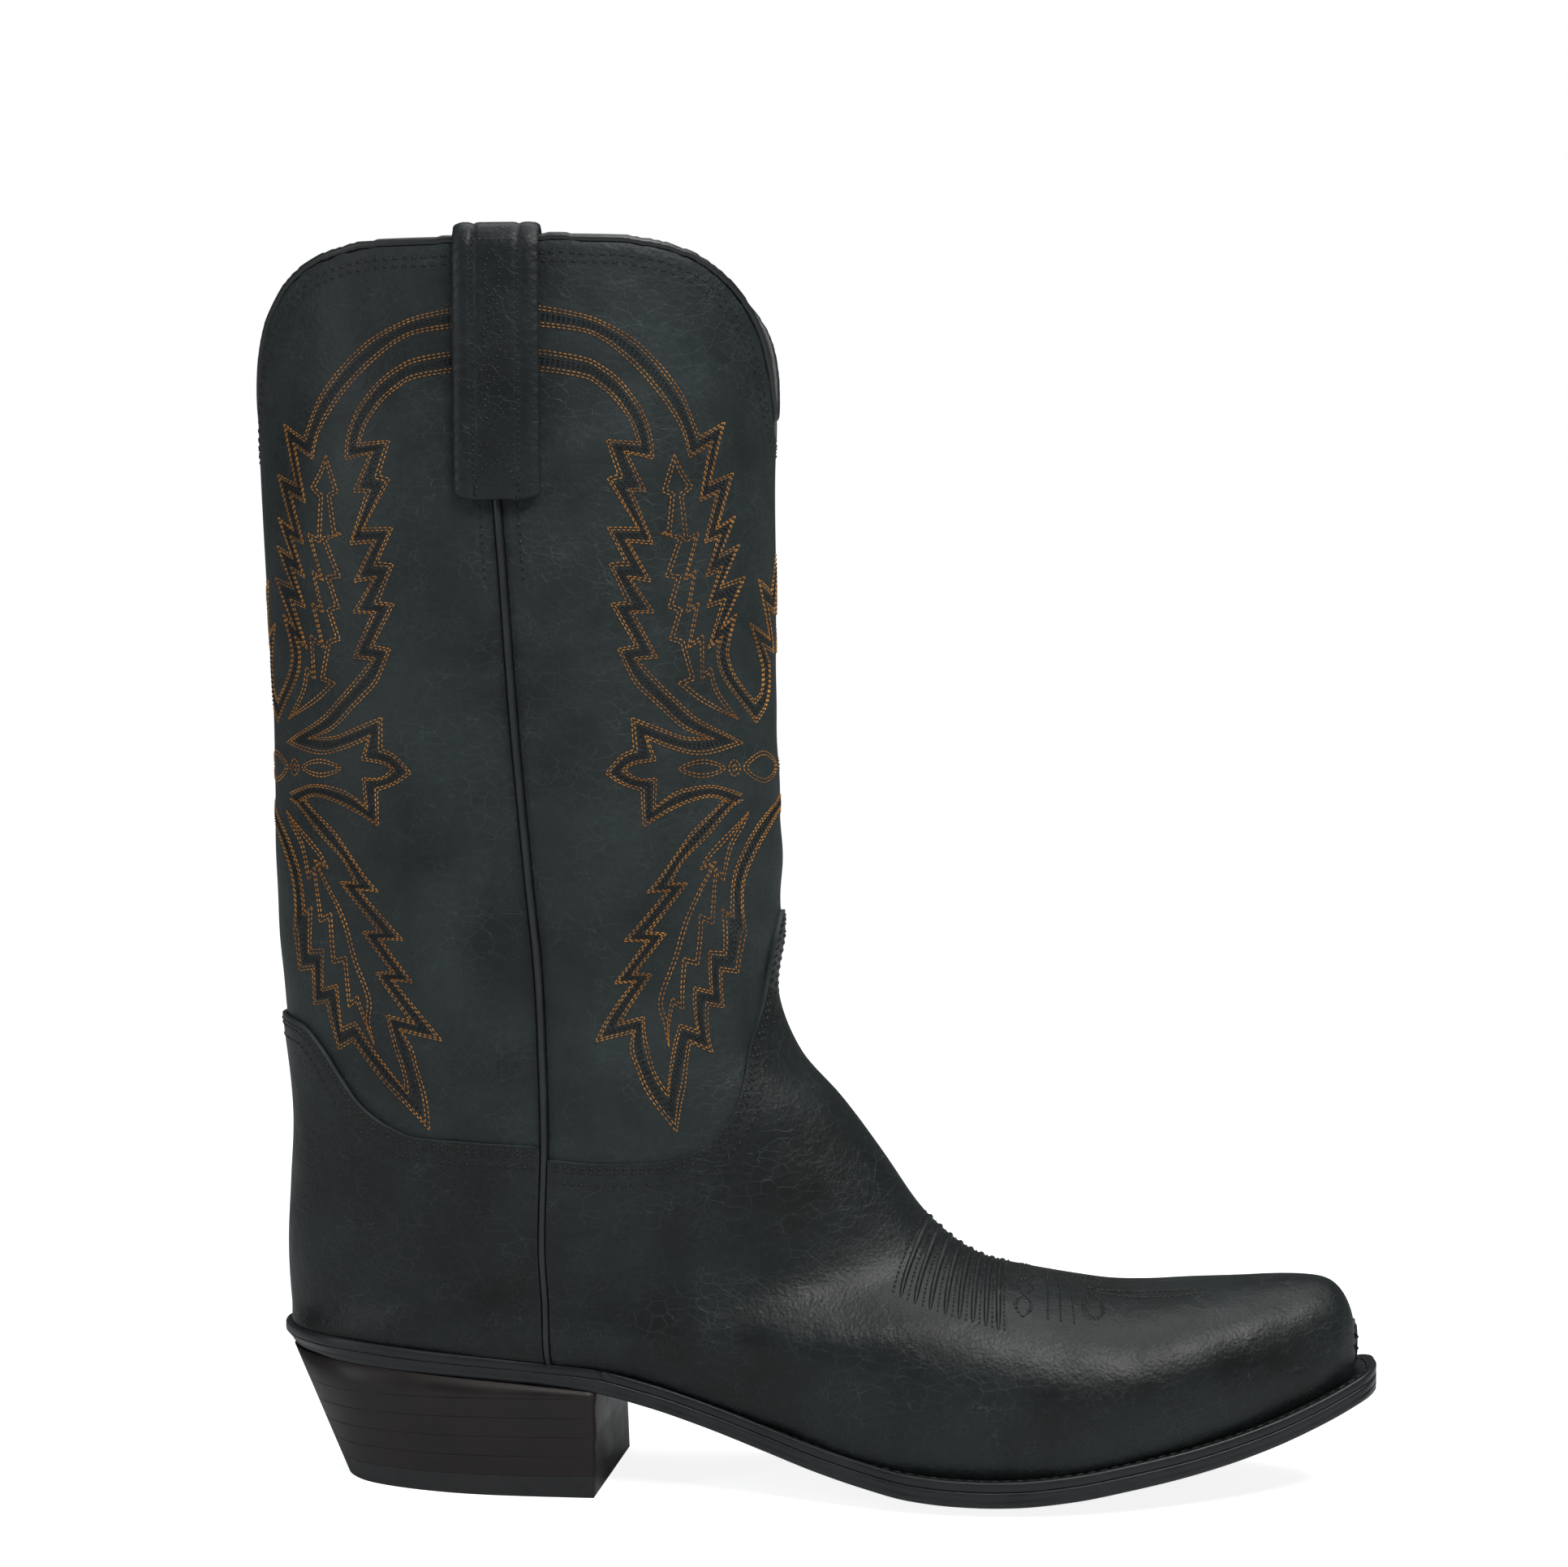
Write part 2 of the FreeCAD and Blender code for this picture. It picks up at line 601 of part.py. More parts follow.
def shank_pegs():
    """Two rows of wooden pegs at the waist, a little further apart towards the ball."""
    pegs = []
    for k in range(PEG_ROWS):
        x = PEG_FIRST_X + PEG_PITCH * k
        for y in (-15.0 - 0.35 * k, 13.5 + 0.35 * k):
            low = outsole_bottom(x, y) + 0.2
            high = outsole_top(x) + DISH * y * y + 2.2
            pegs.append(Part.makeCylinder(PEG_RADIUS, high - low, V(x, y, low)))
    return pegs


THREAD_RADIUS = 0.4
THREAD_CLEAR = 0.05      # between the thread and the welt
STITCH_SHARE = 0.78      # of the pitch; the rest is the hole
STITCH_INSET = 2.4       # from the sole's edge
STITCHED_FROM_X = -56.0
STITCHED_TO_X = 157


def welt_stitches():
    """A row of stitches on the welt, from breast to breast round the toe."""
    def edge_point(x, side):
        table = OUTER_EDGE if side < 0 else INNER_EDGE
        return V(x, side * max(value_at(x, table) - STITCH_INSET, 0.0), 0)

    steps = int(STITCHED_TO_X - STITCHED_FROM_X)
    outer = [edge_point(STITCHED_FROM_X + k, -1) for k in range(steps + 1)]
    inner = [edge_point(STITCHED_FROM_X + k, 1) for k in range(steps + 1)]
    tip = [V(TOE_X - STITCH_INSET, y, 0) for y in (-6.0, -2.0, 2.0, 6.0)]
    path = outer + tip + inner[::-1]
    stitches = []
    travelled = 0.0
    start = path[0]
    for a, b in zip(path, path[1:]):
        travelled += (b - a).Length
        if travelled >= STITCH_PITCH:
            stitches.append((start, b))
            start = b
            travelled = 0.0
    level = sole_height(WELT + THREAD_RADIUS + THREAD_CLEAR)
    solids = []
    for a, b in stitches:
        a.z, b.z = level(a.x, a.y), level(b.x, b.y)
        reach = (b - a) * STITCH_SHARE
        solids.append(Part.makeCylinder(THREAD_RADIUS, reach.Length, a, reach))
    return solids


DRILL_CLEAR = 0.03       # room round a nail or a peg


def drilled(shape, rods):
    """The piece with a hole for each rod that goes through it."""
    wide = []
    for rod in rods:
        box = rod.BoundBox
        foot = V(box.Center.x, box.Center.y, box.ZMin - DRILL_CLEAR)
        radius = box.XLength / 2 + DRILL_CLEAR
        wide.append(Part.makeCylinder(radius, box.ZLength + 2 * DRILL_CLEAR, foot))
    return shape.cut(Part.makeCompound(wide))


# ---------------------------------------------------------------- all pieces
BOARD_END_X = -5.0       # the waist's board ends and the cork begins
PAD_END_X = -72.0
INSOLE_TOE_GAP = 14.0    # from the sole's tip to the insole's


def build():
    """Every piece of the boot by name."""
    above = above_welt()
    pieces = {
        "shaft_front": shaft_front(0.0, -LEATHER),
        "shaft_back": shaft_back(0.0, -LEATHER),
        "shaft_lining_front": shaft_front(LINING_OUT, LINING_IN),
        "shaft_lining_back": shaft_back(LINING_OUT, LINING_IN),
        "vamp": vamp(above),
        "counter_cover": counter_cover(above),
        "vamp_lining": vamp_lining(above),
        "toe_box": toe_box(above),
        "counter_stiffener": counter_stiffener(above),
        "side_piping_outer": side_piping(-1, above),
        "side_piping_inner": side_piping(1, above),
        "rim_bead_front": rim_bead(RIM_FRONT),
        "rim_bead_back": rim_bead(RIM_BACK),
        "pull_strap_outer": pull_strap(-1),
        "pull_strap_inner": pull_strap(1),
        "welt": edge_strip(WELT, TOE_X, BREAST_X + GLUE, WELT_WIDTH),
        "heel_rand": edge_strip(WELT, HEEL_X, BREAST_X, RAND_WIDTH),
    }
    nails = heel_nails()
    pegs = shank_pegs()
    steel = shank()
    board = inner_space(GLUE, FILLER, -180.0, BOARD_END_X).cut(steel)
    pieces["shank"] = steel
    pieces["shank_board"] = drilled(board, nails + pegs)
    pieces["cork_filler"] = inner_space(GLUE, FILLER, BOARD_END_X + GLUE, 180.0).cut(steel)
    pieces["insole"] = inner_space(FILLER + 2 * GLUE, FILLER + INSOLE, -180.0,
                                   TOE_X - INSOLE_TOE_GAP)
    pad_low = FILLER + INSOLE + GLUE
    pieces["heel_pad"] = inner_space(pad_low, pad_low + HEEL_PAD, -180.0, PAD_END_X)
    pieces["outsole"] = drilled(outsole(), nails + pegs)
    for name, lift in heel_layers().items():
        pieces[name] = drilled(lift, nails)
    pieces["heel_nails"] = Part.makeCompound(nails)
    pieces["shank_pegs"] = Part.makeCompound(pegs)
    pieces["welt_stitching"] = Part.makeCompound(welt_stitches())
    return pieces


SMALLEST_PIECE = 100.0   # cubic millimetres; anything less is a cut that went wrong


def main():
    """Builds the pieces, moves them to the origin and writes one file for each."""
    pieces = build()
    everything = Part.makeCompound(list(pieces.values())).optimalBoundingBox(True, False)
    move = V(-everything.Center.x, -everything.Center.y, -everything.ZMin)
    print("moved by", move, "box", everything)
    os.makedirs("parts", exist_ok=True)
    for name, shape in pieces.items():
        if shape.Volume < SMALLEST_PIECE:
            raise ValueError("%s came out empty" % name)
        shape = shape.copy()
        shape.translate(move)
        print("%-20s %9.1f mm3 %3d solids valid %s" % (name, shape.Volume, len(shape.Solids),
                                                      shape.isValid()))
        shape.exportStep("parts/%s.step" % name)


main()
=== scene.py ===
"""Cowboy boot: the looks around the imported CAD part. Toe along +X, inner side of the foot along +Y.

The upper follows one body shape, the same fan of sections as the CAD part. Lengths in the tables
are millimetres, as the shoemaker's are, and to_frame turns them into the frame's metres.
"""
import math
import bmesh
import bpy
import numpy as np
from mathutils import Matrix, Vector
from mathutils.bvhtree import BVHTree


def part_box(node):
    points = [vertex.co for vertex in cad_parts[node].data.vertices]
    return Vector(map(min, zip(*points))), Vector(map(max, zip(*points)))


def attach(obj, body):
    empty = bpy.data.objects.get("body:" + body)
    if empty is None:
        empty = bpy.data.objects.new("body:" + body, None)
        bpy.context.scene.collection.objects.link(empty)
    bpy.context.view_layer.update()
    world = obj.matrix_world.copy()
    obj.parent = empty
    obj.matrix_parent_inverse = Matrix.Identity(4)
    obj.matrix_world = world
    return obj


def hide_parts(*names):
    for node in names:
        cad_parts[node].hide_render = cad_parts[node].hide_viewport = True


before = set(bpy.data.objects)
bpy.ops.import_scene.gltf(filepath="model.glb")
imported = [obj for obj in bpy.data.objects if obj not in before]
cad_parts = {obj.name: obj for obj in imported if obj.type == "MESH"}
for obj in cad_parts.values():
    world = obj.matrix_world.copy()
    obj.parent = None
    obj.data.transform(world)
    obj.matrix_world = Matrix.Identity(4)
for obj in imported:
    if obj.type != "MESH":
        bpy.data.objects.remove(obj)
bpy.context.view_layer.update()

MM = 0.001
LEATHER = 1.3            # shaft, vamp and counter leather
LINING = 0.9             # lining leather
GLUE = 0.1               # room between two layers
FOOT_GROW = LEATHER + GLUE       # the foot's leather lies over the end of the shaft's
UNDERLAP = 13.0          # how far the shaft reaches down behind the foot's leather
WELT = 3.0               # welt and rand thickness
WELT_ROOM = 0.02         # between the welt and the leather above it
WELT_WIDTH = 9.5
RAND_WIDTH = 6.5
TOE_X = 162.0
HEEL_X = -155.5
BREAST_X = -59.0         # front face of the heel
BREAST_SKEW = math.radians(3.2)
CAP = 6.0                # top lift of the heel
LIFT = 5.6
LIFTS = 5
PIPING = 2.2             # width of the cord in the side seam
PIPING_PROUD = 1.9
PIPING_FOOT = 36.5       # its lower end, at the welt
SEAM_CLEAR = PIPING / 2 + GLUE   # from the side seam to a panel's edge
STRAP_WIDTH = 24.0
STRAP_THICK = 2.4
STRAP_X = -84.3
STRAP_TOP = 357.8
STRAP_OUTER_END = 282.0
STRAP_INNER_END = 306.0
SHIFT = np.array([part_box("outsole")[1][0] / MM - TOE_X, 0.0, 0.0])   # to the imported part's origin

# Fan of sections: front point x, z; back point x, z; outer and inner half width; where along the
# section it is widest; roundness of its front half.
STATIONS = [
    (-6.5, 362.0, -162.5, 362.0, 48.0, 48.0, 0.50, 2.1),
    (-7.2, 335.0, -162.2, 335.0, 47.5, 47.5, 0.50, 2.1),
    (-11.0, 300.0, -161.0, 300.0, 46.5, 46.5, 0.50, 2.1),
    (-11.2, 262.0, -159.2, 262.0, 46.0, 46.0, 0.50, 2.1),
    (-11.0, 222.0, -157.4, 222.0, 45.0, 45.0, 0.50, 2.1),
    (-9.8, 186.0, -156.8, 184.0, 43.0, 43.0, 0.50, 2.1),
    (-10.2, 160.0, -155.6, 153.0, 40.5, 40.5, 0.50, 2.1),
    (-11.6, 140.0, -153.6, 130.0, 38.0, 38.0, 0.50, 2.1),
    (-5.0, 124.0, -151.2, 107.0, 35.3, 35.3, 0.50, 2.1),
    (7.0, 110.2, -151.9, 87.0, 33.6, 33.6, 0.50, 2.1),
    (19.0, 94.4, -152.8, 68.0, 32.7, 32.7, 0.50, 2.1),
    (29.0, 80.0, -152.0, 51.0, 32.2, 32.2, 0.50, 2.1),
    (36.2, 72.4, -149.7, 40.0, 32.2, 32.0, 0.50, 2.1),
    (43.5, 66.7, -136.0, 33.5, 33.2, 32.7, 0.48, 2.1),
    (51.6, 62.7, -100.0, 27.0, 35.2, 34.7, 0.44, 2.1),
    (59.7, 60.7, -60.0, 24.0, 37.2, 37.2, 0.44, 2.1),
    (68.8, 59.0, -22.0, 14.0, 39.2, 40.7, 0.46, 2.1),
    (77.9, 57.5, 12.0, 4.0, 40.7, 44.7, 0.48, 2.1),
    (88.0, 56.2, 42.0, 0.0, 40.7, 47.2, 0.50, 2.1),
    (99.0, 56.3, 70.0, 0.0, 39.2, 46.2, 0.52, 2.1),
    (111.0, 57.4, 95.0, 5.0, 34.7, 40.2, 0.52, 2.1),
    (123.0, 58.4, 116.0, 9.0, 28.2, 32.2, 0.52, 2.1),
    (133.8, 59.3, 133.0, 13.0, 21.7, 23.9, 0.52, 2.2),
    (142.2, 59.4, 144.0, 18.0, 16.9, 17.9, 0.52, 2.3),
    (147.8, 58.5, 149.8, 22.0, 13.2, 13.7, 0.52, 2.4),
    (151.2, 55.8, 152.6, 26.0, 10.0, 10.2, 0.50, 2.4),
    (153.4, 51.4, 154.0, 31.0, 7.6, 7.7, 0.50, 2.4),
    (154.4, 46.5, 154.4, 36.0, 5.0, 5.0, 0.50, 2.2),
]
LAST = len(STATIONS) - 1
NOSE_BULGE = 0.9         # the toe's end face is rounded forward by this
UNDER_ROUNDNESS = 2.2
UNDER_LIMITS = (1.5, 3.0)

SOLE_BOTTOM = [(-160, 38.5), (-130, 35.6), (-107, 33.2), (-80, 30.8), (-61, 28.8), (-47, 25.2),
               (-30, 19.6), (-12, 13.2), (2, 8.4), (16, 4.4), (29, 1.5), (42, 0.3), (50, 0.1),
               (58, 0.3), (74, 2.0), (90, 5.0), (110, 9.4), (131, 15.6), (146, 21.6), (162, 29.5)]
OUTSOLE = [(-160, 4.0), (-60, 4.2), (0, 4.5), (162, 4.6)]
DISH = 2.6 / 42.0 ** 2
OUTER_EDGE = [(-155.5, 0), (-153.5, 9), (-147, 18), (-135, 26), (-115, 30.5), (-90, 31),
              (-60, 29.5), (-35, 28.2), (-15, 30.5), (5, 35.5), (28, 40.8), (50, 42.5),
              (72, 41.5), (95, 37), (118, 29.5), (138, 21.5), (152, 15.8), (158.5, 12),
              (161.5, 6), (162, 0)]
INNER_EDGE = [(-155.5, 0), (-153.5, 9), (-147, 18), (-135, 26), (-115, 30.5), (-90, 30.5),
              (-60, 27.5), (-35, 25.5), (-15, 27.5), (8, 35), (32, 44), (56, 49.5), (76, 49),
              (98, 42.5), (120, 32.5), (138, 23.5), (152, 16.2), (158.5, 12), (161.5, 6), (162, 0)]
FEATHER_INSET = [(-156, 3.3), (-60, 3.8), (-20, 4.8), (30, 5.8), (130, 6.8), (162, 7.8)]

# Outlines in the side view, as x, z, sorted by x; the seam as z, x.
RIM_FRONT = [(-84.0, 352.4), (-68.0, 352.8), (-52.0, 352.6), (-40.0, 351.2), (-32.0, 348.8),
             (-25.0, 344.4), (-19.5, 338.6), (-14.8, 330.2), (-12.2, 319.0), (-11.3, 309.5),
             (-10.8, 301.5), (-8.0, 298.8), (10.0, 298.5)]
RIM_BACK = [(-175.0, 294.0), (-161.5, 295.5), (-160.6, 302.0), (-159.6, 312.5), (-157.5, 323.5),
            (-153.0, 334.0), (-144.5, 343.8), (-135.0, 348.8), (-120.0, 351.6), (-102.0, 352.0),
            (-84.0, 352.4)]
SEAM_TOP = 351.0
SIDE_SEAM = [(20.0, -73.3), (55.0, -74.0), (72.0, -74.9), (105.0, -74.0), (142.0, -74.4),
             (182.8, -77.4), (219.0, -80.4), (259.5, -83.1), (300.0, -85.5), (365.0, -86.0)]
VAMP_TOP = [(-74.0, 97.5), (-58.0, 96.2), (-42.0, 96.6), (-29.0, 100.5), (-22.0, 108.0),
            (-18.5, 118.0), (-16.6, 128.0), (-14.0, 137.5), (-11.8, 148.0), (-10.4, 158.0),
            (-8.0, 166.5), (4.0, 167.0)]
COUNTER_TOP = [(-165.0, 137.0), (-147.0, 133.5), (-140.5, 128.0), (-134.0, 119.0),
               (-128.0, 111.5), (-120.0, 106.0), (-111.0, 102.8), (-97.0, 102.0), (-74.0, 101.0)]
HEEL_BASE = [(-136.8, 0.0), (-134.6, 8.0), (-127.5, 16.0), (-114.0, 22.5), (-98.0, 26.6),
             (-80.0, 28.2), (-50.0, 29.0)]
HEEL_TOP_Z = 44.0        # level where the heel has the sole's plan
HEEL_TOP_INSET = 0.4


# ---------------------------------------------------------------- curves
def curve(x, points):
    """Smooth curve through points sorted by x, with no overshoot."""
    table = np.array(points, float)
    px, py = table[:, 0], table[:, 1]
    run = np.diff(px)
    rise = np.diff(py) / run
    slope = np.concatenate([rise[:1], np.zeros(len(rise) - 1), rise[-1:]])
    before, after = rise[:-1], rise[1:]
    same = before * after > 0
    slope[1:-1][same] = 2 * before[same] * after[same] / (before[same] + after[same])
    x = np.clip(x, px[0], px[-1])
    k = np.clip(np.searchsorted(px, x, side="right") - 1, 0, len(run) - 1)
    t = (x - px[k]) / run[k]
    return ((2 * t ** 3 - 3 * t ** 2 + 1) * py[k] + (t ** 3 - 2 * t ** 2 + t) * run[k] * slope[k]
            + (3 * t ** 2 - 2 * t ** 3) * py[k + 1] + (t ** 3 - t ** 2) * run[k] * slope[k + 1])


def outsole_top(x):
    """Height of the outsole's upper face on its middle line."""
    return curve(x, SOLE_BOTTOM) + curve(x, OUTSOLE)


def sole_level(points, extra):
    """Height of a level of the sole at plan points: extra above the outsole's upper face."""
    return outsole_top(points[..., 0]) + extra + DISH * points[..., 1] ** 2


def travel(line):
    """Distance along a line of points, or along each row of a grid of points, at each point."""
    steps = np.linalg.norm(np.diff(line, axis=-2), axis=-1)
    return np.concatenate([np.zeros_like(steps[..., :1]), np.cumsum(steps, -1)], -1)


def unit(vectors):
    return vectors / (np.linalg.norm(vectors, axis=-1, keepdims=True) + 1e-12)


def direction(line):
    """Unit direction of a line of points, at each point."""
    return unit(np.gradient(line, axis=0))


def even_steps(line, count):
    """The line's points, spread again at even distances."""
    travelled = travel(line)
    wanted = np.linspace(0.0, travelled[-1], count)
    return np.stack([np.interp(wanted, travelled, line[:, k]) for k in range(line.shape[1])], 1)


def spline(points, steps=8, closed=False):
    """Catmull-Rom spline through points of any dimension."""
    p = np.array(points, float)
    if closed:
        p = np.concatenate([p[-1:], p, p[:2]])
    else:
        p = np.concatenate([2 * p[:1] - p[1:2], p, 2 * p[-1:] - p[-2:-1]])
    a, b, c, d = p[:-3, None], p[1:-2, None], p[2:-1, None], p[3:, None]
    t = (np.arange(steps) / steps)[None, :, None]
    line = 0.5 * (2 * b + (c - a) * t + (2 * a - 5 * b + 4 * c - d) * t ** 2
                  + (3 * b - a - 3 * c + d) * t ** 3)
    line = line.reshape(-1, p.shape[1])
    return line if closed else np.concatenate([line, p[-2:-1]])


def soft_noise(points, scale, seed):
    """Smooth noise between -1 and 1 with bumps about `scale` millimetres across."""
    random = np.random.default_rng(seed)
    total = np.zeros(points.shape[:-1])
    for _ in range(7):
        way = random.normal(size=3)
        way *= 2.2 / scale / np.linalg.norm(way) * random.uniform(0.7, 1.4)
        bend = random.normal(size=3) * 1.1 / scale
        total += np.sin(points @ way + random.uniform(0, 6.28) + np.sin(points @ bend))
    return total / 3.5


# ---------------------------------------------------------------- the body shape
def under_roundness(station, side):
    """Exponent that brings a section's back half through the sole's edge line."""
    fx, fz, bx, bz, outer, inner, widest, _ = station
    half = outer if side < 0 else inner
    t = widest + (1 - widest) * np.arange(400) / 400
    x = fx + (bx - fx) * t
    below = fz + (bz - fz) * t < outsole_top(x) + WELT
    if not below.any():
        return UNDER_ROUNDNESS
    first = int(np.argmax(below))
    edge = curve(x[first], OUTER_EDGE if side < 0 else INNER_EDGE) - curve(x[first], FEATHER_INSET)
    wanted = min(edge / half, 0.98)
    share = (t[first] - widest) / (1 - widest)
    low, high = UNDER_LIMITS
    for _ in range(30):
        middle = (low + high) / 2
        if (1 - share ** middle) ** (1 / middle) < wanted:
            low = middle
        else:
            high = middle
    return low


FAN = np.array([row + (under_roundness(row, -1), under_roundness(row, 1)) for row in STATIONS])


def body(v, a, side):
    """Point of the body. v counts stations downwards; a runs from -1 at the back or bottom, through
    0 at the widest place, to 1 at the front or top; side is -1 on the outer side and 1 on the inner.
    """
    v, a = np.broadcast_arrays(np.asarray(v, float), np.asarray(a, float))
    held = np.clip(v, 0, LAST)
    k = np.minimum(held.astype(int), LAST - 1)
    t = (held - k)[..., None]
    p, q, r, s = (FAN[np.clip(k + i, 0, LAST)] for i in (-1, 0, 1, 2))
    row = 0.5 * (2 * q + (r - p) * t + (2 * p - 5 * q + 4 * r - s) * t ** 2
                 + (3 * q - p - 3 * r + s) * t ** 3)
    fx, fz, bx, bz, outer, inner, widest, front, under_outer, under_inner = np.moveaxis(row, -1, 0)
    half = outer if side < 0 else inner
    under = under_outer if side < 0 else under_inner
    power = 2 / np.where(a < 0, under, front)
    angle = np.clip(a, -1, 1) * math.pi / 2
    along = np.abs(np.sin(angle)) ** power
    across = np.maximum(np.cos(angle), 0) ** power
    share = np.where(a < 0, widest + (1 - widest) * along, widest * (1 - along))
    nose = np.clip(v - LAST, 0, 1)
    x = fx + (bx - fx) * share + NOSE_BULGE * np.sin(nose * math.pi / 2)
    y = side * half * across * np.sqrt(1 - nose ** 2)
    return np.stack([x, y, fz + (bz - fz) * share], -1)


def skin(v, a, side, grow=0.0):
    """Point of the body grown outwards, and the outward normal there."""
    v, a = np.broadcast_arrays(np.asarray(v, float), np.asarray(a, float))
    point = body(v, a, side)
    down = body(np.minimum(v + 0.03, LAST + 0.97), a, side) - body(np.maximum(v - 0.03, 0), a, side)
    along = body(v, np.minimum(a + 0.012, 1), side) - body(v, np.maximum(a - 0.012, -1), side)
    pole = np.abs(a) > 0.999
    along[pole] = np.stack([0 * a[pole], -side * np.sign(a[pole]), 0 * a[pole]], -1)
    normal = unit(-side * np.cross(down, along))
    nose = np.clip((v - LAST) / 0.9, 0, 1)[..., None]
    normal = unit(normal * (1 - nose) + np.array([1.0, 0.0, 0.0]) * nose)
    grow = np.asarray(grow, float)[..., None]
    return point + normal * grow, normal


def to_frame(points):
    """Millimetres of the tables to metres of the frame."""
    return (np.asarray(points, float) + SHIFT) * MM


def seam_x(z):
    return curve(z, SIDE_SEAM)


def leaves(region, v, side, grow, start):
    """Where a walk along each section from a pole (start is 1 or -1) leaves a region."""
    v = np.atleast_1d(v)
    a = np.linspace(start, -start, 500)
    points, _ = skin(v[:, None], a[None, :], side, grow)
    value = region(points[..., 0], points[..., 1], points[..., 2])
    value[:, -1] = np.minimum(value[:, -1], -1e-9)
    first = np.argmax(value < 0, axis=1)
    rows = np.arange(len(v))
    before = np.maximum(first - 1, 0)
    high, low = value[rows, before], value[rows, first]
    share = np.where(first > 0, high / np.where(high == low, 1, high - low), 0)
    return a[before] + (a[first] - a[before]) * share


# ---------------------------------------------------------------- meshes
def mesh_object(name, verts, faces, mats):
    """A smooth-shaded piece that rides on the boot, from points in metres."""
    mesh = bpy.data.meshes.new(name)
    mesh.from_pydata([tuple(p) for p in verts], [], faces)
    for mat in mats:
        mesh.materials.append(mat)
    mesh.update()
    mesh.polygons.foreach_set("use_smooth", [True] * len(mesh.polygons))
    piece = bpy.data.objects.new(name, mesh)
    bpy.context.collection.objects.link(piece)
    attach(piece, "root")
    return piece


def grid_faces(rows, columns, start=0, flip=False, closed=False):
    """Quads of a grid whose points are numbered row by row from start."""
    last = columns if closed else columns - 1
    i, j = np.meshgrid(np.arange(rows - 1), np.arange(last), indexing="ij")
    nxt = (j + 1) % columns
    quads = np.stack([i * columns + j, (i + 1) * columns + j, (i + 1) * columns + nxt,
                      i * columns + nxt], -1).reshape(-1, 4) + start
    return (quads[:, ::-1] if flip else quads).tolist()


def weld(piece, distance=0.02 * MM):
    """Merges the points that two halves share and drops collapsed faces."""
    work = bmesh.new()
    work.from_mesh(piece.data)
    bmesh.ops.remove_doubles(work, verts=work.verts, dist=distance)
    bmesh.ops.dissolve_degenerate(work, dist=distance / 2, edges=work.edges)
    work.to_mesh(piece.data)
    work.free()
    piece.data.polygons.foreach_set("use_smooth", [True] * len(piece.data.polygons))


def thicken(piece, thickness):
    """Gives a face the thickness of leather, inwards, with a painted and rounded edge."""
    solid = piece.modifiers.new("leather", "SOLIDIFY")
    solid.thickness = thickness * MM
    solid.offset = -1
    solid.material_offset_rim = 1
    bevel = piece.modifiers.new("edge", "BEVEL")
    bevel.width = 0.3 * MM
    bevel.segments = 2
    bevel.limit_method = "ANGLE"
    bevel.angle_limit = math.radians(50)
    bevel.harden_normals = False


def sheet(name, halves, mat, thickness):
    """One leather panel from grids of (points, normals), joined where they meet."""
    verts, faces = [], []
    for points, normals in halves:
        rows, columns, _ = points.shape
        i, j = rows // 2, columns // 2
        face_normal = np.cross(points[i + 1, j] - points[i, j], points[i, j + 1] - points[i, j])
        faces += grid_faces(rows, columns, len(verts), flip=face_normal @ normals[i, j] < 0)
        verts += list(to_frame(points.reshape(-1, 3)))
    piece = mesh_object(name, verts, faces, [mat, EDGE_PAINT])
    weld(piece)
    thicken(piece, thickness)
    return piece


def tube(name, paths, mat):
    """Pieces swept from closed rings of points: each path is an array ring x profile x 3."""
    verts, faces = [], []
    for rings in paths:
        count, around, _ = rings.shape
        base = len(verts)
        first = rings[0].mean(0)
        last = rings[-1].mean(0)
        across = np.cross(rings[0, 1] - rings[0, 0], rings[1, 0] - rings[0, 0])
        flip = across @ (rings[0, 0] - first) > 0
        faces += grid_faces(count, around, base, flip=not flip, closed=True)
        verts += list(to_frame(rings.reshape(-1, 3)))
        for centre, row in ((first, 0), (last, count - 1)):
            verts.append(to_frame(centre))
            middle = len(verts) - 1
            for j in range(around):
                pair = [base + row * around + j, base + row * around + (j + 1) % around]
                pair = pair if (row == 0) == flip else pair[::-1]
                faces.append([middle] + pair)
    return mesh_object(name, verts, faces, [mat])


